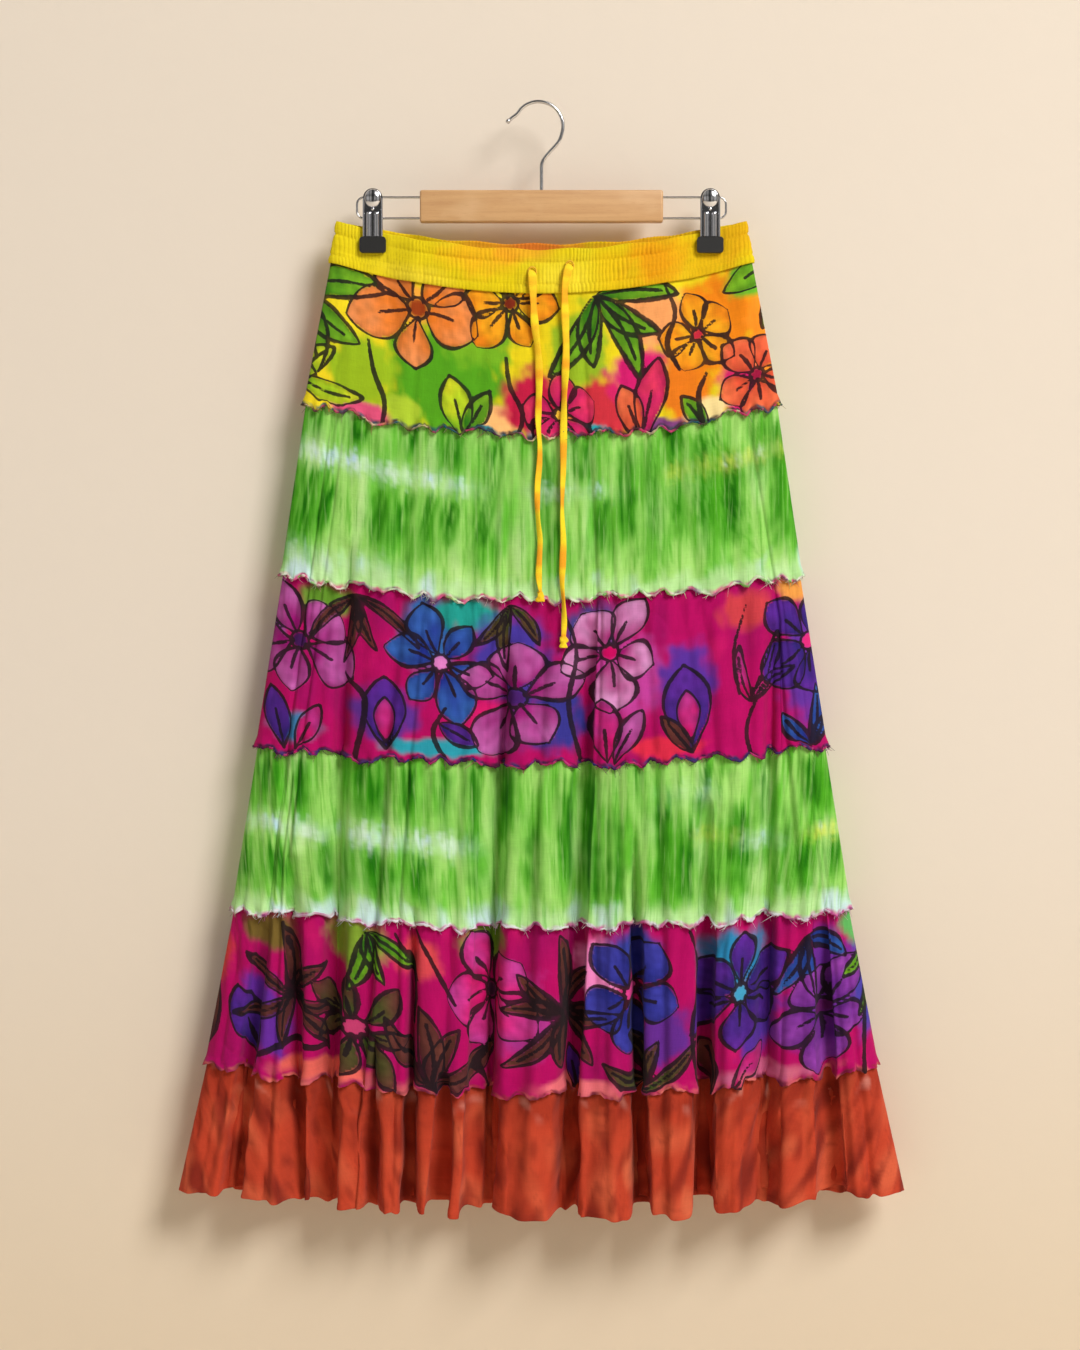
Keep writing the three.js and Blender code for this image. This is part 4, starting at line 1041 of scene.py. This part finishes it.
GREEN_STREAKS = {
    "tier_2": [
        (-240, 62, 132, 8, 1), (-220, 58, 136, 8, 0.9), (-203, 64, 120, 6, 0.9), (-234, 4, 30, 9, 0.7),
        (-212, 2, 32, 7, 0.8), (-172, 0, 36, 10, 0.9), (-150, 66, 130, 9, 0.7), (-130, 64, 124, 7, 0.9),
        (-121, -4, 38, 6, 0.9), (-106, 70, 128, 7, 0.8), (-82, -4, 44, 10, 1), (-84, 68, 116, 7, 0.9),
        (-40, 6, 128, 10, 0.55), (6, 16, 132, 8, 0.6), (42, -2, 62, 9, 0.7), (58, 66, 130, 8, 0.7),
        (80, 16, 112, 8, 0.8), (104, 10, 120, 7, 0.5), (127, -4, 104, 7, 0.9), (156, 18, 112, 10, 1),
        (180, 36, 124, 9, 1), (206, 2, 70, 7, 0.5), (228, 14, 132, 9, 0.8), (246, 24, 140, 8, 0.9),
    ],
    "tier_4": [
        (-302, 8, 54, 10, 1), (-300, 88, 134, 9, 0.9), (-268, 2, 54, 10, 1), (-264, 84, 130, 10, 0.9),
        (-236, 2, 62, 7, 0.8), (-218, 78, 140, 6, 0.6), (-166, 0, 54, 12, 1), (-160, 88, 136, 12, 1),
        (-128, 6, 58, 8, 0.8), (-122, 90, 140, 9, 0.9), (-94, 8, 66, 7, 0.6), (-66, -2, 130, 7, 0.6),
        (-30, -4, 66, 9, 0.7), (-8, 60, 128, 7, 0.5), (22, 18, 116, 7, 0.8), (52, 14, 138, 9, 0.9),
        (74, 44, 140, 7, 0.6), (96, 0, 50, 8, 0.5), (122, 40, 134, 9, 1), (142, 58, 138, 9, 0.9),
        (160, 4, 64, 6, 0.6), (196, 44, 122, 9, 1), (216, 12, 66, 7, 0.6), (246, 60, 140, 6, 0.5),
        (266, 2, 60, 10, 1), (264, 84, 130, 10, 1), (290, 4, 54, 8, 0.9), (292, 84, 126, 8, 0.9),
        (306, 10, 64, 6, 0.9),
    ],
}  # fmt: skip


def back_streaks(seed):
    """The back's streaks aren't listed one by one. They have the front's sizes, at seeded places."""
    rng = np.random.default_rng(seed)
    lowest, highest = np.array([-7, -5, -10, 6, 0.5]), np.array([7, 8, 8, 11, 1])
    return [
        tuple(rng.uniform(lowest, highest) + [a, first, last, 0, 0])
        for a in range(-300, 301, 27)
        for first, last in ((2, 52), (86, 134))
        if rng.uniform() < 0.75
    ]


def paint_tier(key, side, across, drop):
    top, edge = TIERS[key]
    down, back = drop - top, side.name == "back"
    if key in GARDENS:
        p = paint_garden(key, -across if back else across, down)
    elif key == "hem_flounce":
        return rust_dye(across, down, 71 + back)
    else:
        streaks = back_streaks(top) if back else GREEN_STREAKS[key]
        seed, lean = (11, 0.2) if key == "tier_2" else (41, 0.05)
        p = green_dye(across, down, seed + 3 * back, GREEN_LINES[key, side.name], streaks, 15, lean)
    if key == "tier_5":
        patchy = smooth(p.wander + 0.4 * p.ragged, -0.1, 0.7)
        washed = smooth(drop + 5 * p.wander, edge - 12, edge + 2) * patchy
        p.blend(0.5 * washed, (218, 120, 104))
    speckled_edge(p, edge - drop, key)
    return p


PIECES = {}
EDGES = {}
SEED = {"yoke": 100, "tier_2": 200, "tier_3": 300, "tier_4": 400, "tier_5": 500, "hem_flounce": 600}
GATHER = {"yoke": 0.5, "tier_2": 1.0, "tier_3": 1.0, "tier_4": 1.2, "tier_5": 1.15, "hem_flounce": 1.5}
COLUMNS = {
    "yoke": (260, 180), "tier_2": (270, 180), "tier_3": (350, 240), "tier_4": (360, 230),
    "tier_5": (440, 290), "hem_flounce": (480, 300),
}  # fmt: skip
STEPS = {True: (2.5, 3.4), False: (3.6, 4.6)}  # a painted tier's rows lie closer than a dyed one's
WRINKLE = {"yoke": 0.5, "tier_2": 0.6, "tier_3": 0.7, "tier_4": 0.8, "tier_5": 0.9, "hem_flounce": 2.2}
for key, (top, edge) in TIERS.items():
    for side in (FRONT, BACK):
        fine = side is FRONT
        step = STEPS[key in GARDENS][0 if fine else 1]
        rows = spread(top - LAP, edge - 6, step) + spread(edge - 5.2, edge, 0.85 if fine else 1.3)
        columns = COLUMNS[key][0 if fine else 1]
        push = tier_push(key, SEED[key] + (0 if fine else 7), GATHER[key], WRINKLE[key])
        seams = [edge - 6.5, top + 2] if key == "hem_flounce" else []
        name = f"{key}_{side.name}"
        paint = partial(paint_tier, key, side)
        PIECES[name], EDGES[name] = sheet(name, side, rows, columns, push, paint, seams)

# %% [markdown]
# ## The waistband
#
# Elastic runs in three channels, so the band is shirred: its outside stands up in fine ribs that shift a
# little from one channel to the next, and two rows of stitching press it flat. Under the clips it is squeezed
# smooth.


# %% Sew the waistband
RIB_PITCH = 3.5
STITCHED = (12, 32)  # the drops of the two rows of stitching
# How far the band puffs out between the stitching and beside its edges, as (drop, way out)
PUFF = [
    (0, 0.2), (3, 0.9), (6, 1.2), (10, 0.6), (12, -1.1), (14, 0.6), (22, 1.7), (30, 0.6), (32, -0.9),
    (34, 0.5), (37, 0.9), (40, 0.2),
]  # fmt: skip
TIE_EXITS = [(-8.8, -163.2), (27, -157.6)]  # each buttonhole's x and z


def band_ribs(across, drop, seed):
    """1 on a rib and 0 in the groove between two, and the channel's number."""
    p = np.random.default_rng(seed).uniform(0, 6.28, 8)
    channel = (drop > STITCHED[0]).astype(float) + (drop > STITCHED[1])
    shift = 1.6 * np.sin(across / 23 + 2.1 * channel + p[0]) + 0.9 * np.sin(across / 6.1 + 4 * channel + p[1])
    shift = shift + 0.25 * np.sin(drop / 3 + across / 9)
    return np.abs(np.sin(np.pi * (across + shift) / RIB_PITCH)) ** 0.8, channel


def band_push(seed):
    p = np.random.default_rng(seed).uniform(0, 6.28, 8)

    def push(across, drop, x):
        free = 1 - pinched(x, 0 * drop)
        beside = smooth(np.abs(np.abs(x) - CLIP_X), 11.5, 17)
        ribs, channel = band_ribs(across, drop, seed)
        puff = np.interp(drop, *zip(*PUFF))
        size = 0.7 + 0.3 * np.sin(across / 11 + 3 * channel + p[2]) + 0.2 * np.sin(across / 5 + 5 * channel)
        tied = np.exp(-(((x + 8) / 6) ** 2)) + np.exp(-(((x - 23) / 6) ** 2))
        puffed = puff * (1 + 0.3 * np.sin(across / 14 + p[3])) * (1 - 0.6 * tied)
        out = free * (1.05 * (ribs - 0.6) * size + puffed)
        squeezed = 0.72 * (drop < 26) + beside * (0.9 * ribs * size + 0.7 * np.maximum(0, puff))
        out = out + (1 - free) * squeezed
        fall = free * (0.9 * np.sin(across / 9 + p[4]) + 0.5 * ribs) * (1 - smooth(drop, 0, 8))
        return out, fall, puff

    return push


FRONT_BAND = [
    (-160, 10, 50, 60, (232, 212, 30), 0.8), (-60, 8, 40, 22, (246, 180, 30), 0.7),
    (-20, 2, 36, 12, (240, 150, 40), 0.6), (20, 26, 40, 20, (240, 220, 52), 0.9),
    (70, 22, 26, 26, (234, 192, 18), 0.7), (112, 18, 34, 34, (232, 156, 16), 0.9),
    (160, 30, 30, 26, (226, 174, 16), 0.7), (190, 10, 24, 30, (224, 162, 18), 0.7),
    (-120, 34, 40, 12, (238, 214, 60), 0.5),
]  # fmt: skip
BACK_BAND = [
    (-10, 4, 60, 16, (228, 118, 48), 0.9), (-60, 8, 40, 26, (242, 170, 40), 0.7),
    (90, 10, 50, 30, (244, 176, 34), 0.8), (-140, 20, 40, 40, (240, 196, 34), 0.6),
    (150, 24, 36, 40, (238, 160, 40), 0.6),
]  # fmt: skip


def paint_band(seed, patches, across, drop):
    return yellow_dye_and_groove_shade(across, drop, 54 + seed, patches, band_ribs(across, drop, seed)[0])


for side, patches, seed, step, columns in ((FRONT, FRONT_BAND, 7, 1.25, 500), (BACK, BACK_BAND, 8, 1.6, 400)):
    name = f"waistband_{side.name}"
    paint = partial(paint_band, seed, patches)
    rows, push = spread(0, 40, step), band_push(seed)
    PIECES[name], EDGES[name] = sheet(name, side, rows, columns, push, paint, STITCHED)

# %% [markdown]
# ## The raw edges
#
# The overlocking leaves a lumpy rim, and short threads hang from it. One rim and its threads are a single
# piece for each tier. A thread is a thin three-sided tube: hundreds are needed, and at this size nobody sees
# its section.


# %% Overlock and fray the tier edges
def frayed_edge(name, keys, seed, per_mm):
    rng = np.random.default_rng(seed)
    points, faces, colours = [], [], []

    def strand(route, radii, sides, tints):
        start = len(points)
        route = np.array(route)
        tangent = np.gradient(route, axis=0)
        tangent /= np.linalg.norm(tangent, axis=1)[:, None] + 1e-9
        first = np.cross(tangent, [0.3, 0.2, 1.0] if abs(tangent[0][2]) < 0.8 else [1.0, 0.3, 0])
        first /= np.linalg.norm(first, axis=1)[:, None] + 1e-9
        second = np.cross(tangent, first)
        for i, centre in enumerate(route):
            for j in range(sides):
                turn = 2 * math.pi * j / sides
                points.append(centre + radii[i] * (math.cos(turn) * first[i] + math.sin(turn) * second[i]))
                colours.append(tints[i])
        for i in range(len(route) - 1):
            for j in range(sides):
                k = (j + 1) % sides
                this, that = start + i * sides, start + (i + 1) * sides
                faces.append((this + j, this + k, that + k, that + j))
        last = start + (len(route) - 1) * sides
        faces.append(tuple(range(start + sides - 1, start - 1, -1)))
        faces.append(tuple(range(last, last + sides)))

    for key in keys:
        mixes = [dye(*thread) for thread in THREADS[key.rsplit("_", 1)[0]]]
        edge = EDGES[key]
        route = edge["points"] + edge["outs"] * 0.1
        pick = rng.integers(0, len(mixes), len(route) // 3 + 2).repeat(3)[: len(route)]
        share = rng.uniform(0.3, 0.95, len(route))[:, None]
        tints = edge["paint"] * (1 - share) + np.array([mixes[i] for i in pick]) * share
        strand(route, rng.uniform(0.6, 1.5, len(route)), 5, tints)
        length = edge["across"][-1] - edge["across"][0]
        for _ in range(int(length * per_mm)):
            i = rng.integers(1, len(route) - 1)
            reach = rng.uniform(1.2, 4.2) if rng.uniform() < 0.85 else rng.uniform(4, 8)
            way = np.array([rng.normal(0, 0.55), 0, -1.0]) + edge["outs"][i] * rng.uniform(0.1, 0.8)
            bend = rng.normal(0, 0.25, 3) * reach
            t = np.linspace(0, 1, 4)[:, None]
            tint = edge["paint"][i] * 0.5 + mixes[rng.integers(0, len(mixes))] * 0.5
            strand(route[i] + t * reach * way + t**2 * bend, [0.24, 0.22, 0.2, 0.14], 3, [tint] * 4)
    coords = np.array(points) / 1000
    made = piece_from(name, points, faces, paint=np.array(colours), cloth=coords)
    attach(made, "root")
    print(name, "faces:", len(made.data.polygons))
    return made


for key in ("yoke", "tier_2", "tier_3", "tier_4"):
    PIECES[f"{key}_fray"] = frayed_edge(f"{key}_fray", [f"{key}_front", f"{key}_back"], 31, 0.42)

# %% [markdown]
# ## Cloth finishes
#
# All the cloth is the same thin cotton, so one recipe serves: the colour from the piece, which is dye with
# some painted shade on the band and the hem, darker and lighter along its threads, ink where the painting
# says so, and a soft sheen. Its bump is a fine crinkle with slubs in both directions, read from the cloth's
# own coordinates so that it follows every fold.


# %% Weave the cotton
def cotton(name, inked=False, rough=0.86, stitch=None, crinkle=1.0, streaky=False):
    """stitch is the colour of the rows of stitching, and streaky draws the dye out down the cloth."""
    f = Finish(name)
    cloth = f.attribute("cloth", "Vector")
    warp = f.noise(f.place(cloth, (900, 60, 1)), 1, 2)
    weft = f.noise(f.place(cloth, (60, 900, 1)), 1, 2)
    crepe = f.noise(f.place(cloth, (420, 200, 1)), 1, 3)
    cloudy = f.noise(cloth, 55, 3, 0.55)
    shade = (warp + weft) * 0.16 + cloudy * 0.3 + 0.69
    colour = f.mix(1.0, f.attribute("paint", "Color"), shade, "MULTIPLY")
    if streaky:
        streak = f.noise(f.place(cloth, (230, 12, 1)), 1, 4, 0.6)
        deeper = f.mix(1.0, colour, dye(146, 204, 98), "MULTIPLY")
        colour = f.mix(streak.ramp(0.5, 0.68) * 0.6, colour, deeper)
        colour = f.mix(streak.ramp(0.32, 0.48, 1, 0) * 0.3, colour, dye(182, 226, 138))
    if inked:
        ragged = f.noise(cloth, 260, 3) - 0.5 + (f.noise(cloth, 70, 2) - 0.5) * 1.2
        outline = f.attribute("outline")
        closed = (outline.maths("ABSOLUTE", outline) + ragged * 0.7).ramp(0.8, 1.2, 1, 0)
        loose = (f.attribute("brush") + ragged * 1.6).ramp(-0.2, 0.5, 1, 0)
        line = closed.maths("MAXIMUM", closed, loose)
        colour = f.mix(line * (0.8 + 0.25 * cloudy), colour, dye(30, 20, 26))
    height = (warp + weft) * 0.35 + crepe * (1.1 * crinkle)
    if stitch is not None:
        seam = f.attribute("seam")
        along = f.node("ShaderNodeSeparateXYZ", None, {0: cloth}, output="X")
        dash = (along * 360).maths("FRACT", along * 360).ramp(0.62, 0.74, 1, 0)
        sewn = seam.ramp(0.35, 0.6, 1, 0) * dash
        colour = f.mix(sewn * 0.7, colour, stitch)
        height = height + sewn * 1.2
    f.set(Base_Color=colour, Roughness=rough, Specular_IOR_Level=0.1, Sheen_Weight=0.04, Sheen_Roughness=0.5)
    return f.bump(height, 0.00035, 0.55)


painted_cotton = cotton("painted_cotton", inked=True)
dyed_cotton = cotton("dyed_cotton", streaky=True)
rust_cotton = cotton("rust_cotton", stitch=dye(150, 54, 34), crinkle=1.5)
band_cotton = cotton("band_cotton", stitch=dye(222, 190, 40))
frayed_cotton = cotton("frayed_cotton", rough=0.95)
FINISHES = {
    "yoke": (painted_cotton, "yoke_print"), "tier_3": (painted_cotton, "berry_print"),
    "tier_5": (painted_cotton, "berry_print"), "tier_2": (dyed_cotton, "green_dye"),
    "tier_4": (dyed_cotton, "green_dye"), "hem_flounce": (rust_cotton, "rust_dye"),
    "waistband": (band_cotton, "band_cloth"),
}  # fmt: skip
for name, made in PIECES.items():
    key, end = name.rsplit("_", 1)
    finish, slot = FINISHES[key]
    made.data.materials.append((frayed_cotton if end == "fray" else finish).material)
print("cloth pieces:", len(PIECES))

# %% Dye the ties
tie_cotton = Finish("tie_cotton")
tie_cloth = tie_cotton.attribute("cloth", "Vector")
tie_weave = tie_cotton.noise(tie_cotton.node("ShaderNodeTexCoord", output="Object"), 900, 2)
tie_patch = tie_cotton.noise(tie_cotton.place(tie_cloth, (1, 34, 1)), 1, 2).ramp(0.42, 0.62)
tie_colour = tie_cotton.mix(tie_patch, dye(246, 214, 40), dye(240, 164, 34))
tie_colour = tie_cotton.mix(1.0, tie_colour, tie_weave * 0.3 + 0.85, "MULTIPLY")
tie_cotton.set(Base_Color=tie_colour, Roughness=0.82, Specular_IOR_Level=0.15, Sheen_Weight=0.05)
tie_cotton.bump(tie_weave, 0.0003, 0.6)
for made in (left_tie, right_tie, *ends.values()):
    made.data.materials.append(tie_cotton.material)

# %% [markdown]
# ## The cuts
#
# A gathered piece was wider before it was drawn up on to the seam above it.

# %% [markdown]
# ## The hanger
#
# The bar is a beech block with eased edges, the hook and the slides are bright wire, and each clip is two
# pressed leaves with rubber feet.

# %% Shape the beech bar
low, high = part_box("hanger_bar")
middle = (Vector(low) + Vector(high)) / 2
bpy.ops.mesh.primitive_cube_add(size=1, location=middle)
bar = bpy.context.object
bar.name = "beech_bar"
bar.scale = Vector(high) - Vector(low)
bpy.ops.object.transform_apply(location=True, rotation=True, scale=True)
eased = bar.modifiers.new("eased", "BEVEL")
eased.width = 0.0021
eased.segments = 4
bpy.ops.object.modifier_apply(modifier="eased")
bpy.ops.object.shade_smooth_by_angle(angle=math.radians(40))
bar.select_set(False)
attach(bar, "root")
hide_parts("hanger_bar")
print("bar, m:", [round(v, 4) for v in bar.dimensions])


# %% Bend the hook
def bent_wire(name, route, radius, tip=None):
    """A round wire along a route in millimetres, bent as a curve and then made a mesh."""
    bpy.ops.curve.primitive_nurbs_path_add()
    wire = bpy.context.object
    wire.name = name
    wire.data.splines.clear()
    spline = wire.data.splines.new("POLY")
    spline.points.add(len(route) - 1)
    for point, place in zip(spline.points, route):
        point.co = (*(np.array(place) / 1000), 1)
    wire.location = (0, 0, 0)
    wire.data.bevel_depth = radius / 1000
    wire.data.bevel_resolution = 4
    wire.data.use_fill_caps = True
    bpy.ops.object.convert(target="MESH")
    bpy.ops.object.shade_smooth()
    wire = bpy.context.object
    if tip is not None:
        start = Vector(route[0]) / 1000
        bpy.ops.mesh.primitive_uv_sphere_add(segments=20, ring_count=12, radius=tip / 1000, location=start)
        bpy.ops.object.shade_smooth()
        wire.select_set(True)
        bpy.context.view_layer.objects.active = wire
        bpy.ops.object.join()
        bpy.ops.object.transform_apply(location=True, rotation=True, scale=True)
    wire.select_set(False)
    return wire


BEND = 23.55  # the radius of the hook's round
BEND_X, BEND_Z = -2.9, -21.6  # its middle
hook_route = [(-31.9, 0, -16.9), (-27.6, 0, -13.2)]
for degrees in range(150, -16, -15):
    turn = math.radians(degrees)
    hook_route.append((BEND_X + BEND * math.cos(turn), 0, BEND_Z + BEND * math.sin(turn)))
for x, z in ((17, -35.6), (12.5, -41.4), (7, -47.4), (2.2, -53.4), (0.2, -58.5), (0, -66), (0, -84)):
    hook_route.append((x, 0, z))
hook = bent_wire("hook_wire", smooth_route(hook_route, 6), 1.8, tip=2.5)
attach(hook, "root")
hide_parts("hanger_hook")
print("hook faces:", len(hook.data.polygons))

# %% Bend the two slide wires
slides = {}
for end, sign in (("left", -1), ("right", 1)):
    low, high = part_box(f"slide_wire_{end}")
    thin = (high[1] - low[1]) / 2 * 1000
    deep, top, bottom = (low[1] + high[1]) * 500, high[2] * 1000 - thin, low[2] * 1000 + thin
    outer = (high[0] if sign > 0 else low[0]) * 1000 - sign * thin
    inner = (low[0] if sign > 0 else high[0]) * 1000
    corner = 6.5
    loop = [(inner, deep, top), (inner * 0.5 + outer * 0.5, deep, top)]
    for centre_z, first in ((top - corner, 90), (bottom + corner, 0)):
        for degrees in range(first, first - 91, -15):
            turn = math.radians(degrees)
            x = outer - sign * corner + sign * corner * math.cos(turn)
            loop.append((x, deep, centre_z + corner * math.sin(turn)))
    loop += [(inner * 0.5 + outer * 0.5, deep, bottom), (inner, deep, bottom)]
    slides[end] = bent_wire(f"slide_{end}", loop, thin)
    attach(slides[end], "root")
    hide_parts(f"slide_wire_{end}")
    print("slide", end, "mm:", [round(v) for v in (inner, outer, top, bottom)])

# %% Press the clips' front leaves
def joined(name, pieces):
    bpy.ops.object.select_all(action="DESELECT")
    for piece in pieces:
        piece.select_set(True)
    bpy.context.view_layer.objects.active = pieces[0]
    bpy.ops.object.join()
    made = bpy.context.object
    made.name = name
    bpy.ops.object.transform_apply(location=True, rotation=True, scale=True)
    bpy.ops.object.shade_smooth_by_angle(angle=math.radians(50))
    made.select_set(False)
    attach(made, "root")
    return made


def plate(low, high):
    low, high = Vector(low) / 1000, Vector(high) / 1000
    bpy.ops.mesh.primitive_cube_add(size=1, location=(low + high) / 2, scale=high - low)
    return bpy.context.object


def pin(x, y, low, high, radius):
    place, tall = (x / 1000, y / 1000, (low + high) / 2000), (high - low) / 1000
    bpy.ops.mesh.primitive_cylinder_add(vertices=24, radius=radius / 1000, depth=tall, location=place)
    return bpy.context.object


def bead(x, y, z, sizes):
    place, scale = np.array([x, y, z]) / 1000, np.array(sizes) / 1000
    bpy.ops.mesh.primitive_uv_sphere_add(segments=36, ring_count=20, radius=1, location=place, scale=scale)
    return bpy.context.object


UPRIGHT = (math.pi / 2, 0, 0)
LEAF_HALF = 9.2  # half the leaf's width
LEAF_FACE = -6.2  # the y of its face
EYE, FOOT = -91.5, -128.5  # the heights of the round eye's middle and of the leaf's lower end
FLUTE, FLUTE_TOP = 2.4, -107  # a pressed ridge's radius, and where it ends
leaves = {}
for end, x in (("left", -CLIP_X), ("right", CLIP_X)):
    eye = {"radius": LEAF_HALF / 1000, "depth": 0.0012, "location": (x / 1000, -0.0056, EYE / 1000)}
    bpy.ops.mesh.primitive_cylinder_add(vertices=48, rotation=UPRIGHT, **eye)
    forms = [bpy.context.object, plate((x - LEAF_HALF, LEAF_FACE, FOOT), (x + LEAF_HALF, -5, EYE))]
    forms += [bead(x, -5.8, -91.6, (8.0, 3.6, 8.8)), bead(x, LEAF_FACE, -102, (1.5, 0.7, 1.5))]
    for way in (-1, 1):
        ridge, rim = x + 3.7 * way, x + 8.6 * way
        forms.append(pin(ridge, LEAF_FACE, FOOT, FLUTE_TOP, FLUTE))
        forms.append(bead(ridge, LEAF_FACE, FLUTE_TOP, (FLUTE, FLUTE, FLUTE)))
        forms.append(pin(x + 8.8 * way, -5.8, FOOT, EYE, 0.9))
        forms.append(plate((rim - 0.6, LEAF_FACE, -116), (rim + 0.6, -1.6, -90)))
    leaves[end] = joined(f"pressed_leaf_{end}", forms)
    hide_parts(f"clip_{end}_front_leaf")
    print("leaf", end, "faces:", len(leaves[end].data.polygons))

# %% Stitch a buttonhole round each tie's way out
ROUNDS = {"major_radius": 0.0042, "minor_radius": 0.0008, "major_segments": 32, "minor_segments": 8}
holes = []
for x, z in TIE_EXITS:
    bpy.ops.mesh.primitive_torus_add(location=(x / 1000, -0.0128, z / 1000), rotation=UPRIGHT, **ROUNDS)
    bpy.context.object.scale = (0.9, 1.1, 1.2)
    holes.append(bpy.context.object)
buttonholes = joined("buttonholes", holes)
print("buttonholes:", len(holes))

# %% Finish the hanger
beech = Finish("beech")
block = beech.node("ShaderNodeTexCoord", output="Object")
growth = beech.noise(beech.place(block, (9, 90, 210)), 1, 5, 0.6)
fleck = beech.noise(beech.place(block, (130, 900, 1700)), 1, 2)
figure = beech.noise(beech.place(block, (22, 30, 34)), 1, 2)
wood = beech.mix(growth.ramp(0.3, 0.75), dye(208, 165, 116), dye(194, 148, 100))
wood = beech.mix(figure.ramp(0.5, 0.75) * 0.6, wood, dye(218, 180, 135))
wood = beech.mix(fleck.ramp(0.56, 0.7) * 0.3, wood, dye(182, 130, 84))
beech.set(Base_Color=wood, Roughness=growth * 0.12 + 0.36, Coat_Weight=0.25, Coat_Roughness=0.3)
beech.bump(fleck + growth * 0.4, 0.0001, 0.4)
bar.data.materials.append(beech.material)


def bright(name, colour, rough):
    f = Finish(name)
    smear = f.noise(f.node("ShaderNodeTexCoord", output="Object"), 180, 3)
    f.set(Base_Color=colour, Metallic=1.0, Roughness=smear * rough + rough * 0.6)
    return f.bump(smear, 0.00005, 0.2)


chrome = bright("chrome_plate", dye(222, 222, 226), 0.12)
steel = bright("steel_wire", dye(206, 206, 208), 0.18)
rubber = Finish("black_rubber")
grain = rubber.noise(rubber.node("ShaderNodeTexCoord", output="Object"), 1500, 3)
rubber.set(Base_Color=rubber.mix(grain, dye(13, 13, 13), dye(26, 26, 27)), Roughness=0.5)
rubber.bump(grain, 0.0001, 0.5)
hook.data.materials.append(steel.material)


def refinish(node, finish):
    for o in bpy.data.objects:
        if o.name == node or o.name.startswith(node + "."):
            o.data.materials.clear()
            o.data.materials.append(finish.material)


for end in ("left", "right"):
    slides[end].data.materials.append(steel.material)
    leaves[end].data.materials.append(chrome.material)
    for part in ("back_leaf", "spring"):
        refinish(f"clip_{end}_{part}", chrome)
    for part in ("front_pad", "back_pad"):
        refinish(f"clip_{end}_{part}", rubber)

thread = Finish("buttonhole_thread")
twist = thread.noise(thread.node("ShaderNodeTexCoord", output="Object"), 1400, 2)
thread.set(Base_Color=thread.mix(twist, dye(206, 150, 20), dye(240, 196, 50)), Roughness=0.8)
thread.bump(twist, 0.0002, 0.6)
buttonholes.data.materials.append(thread.material)
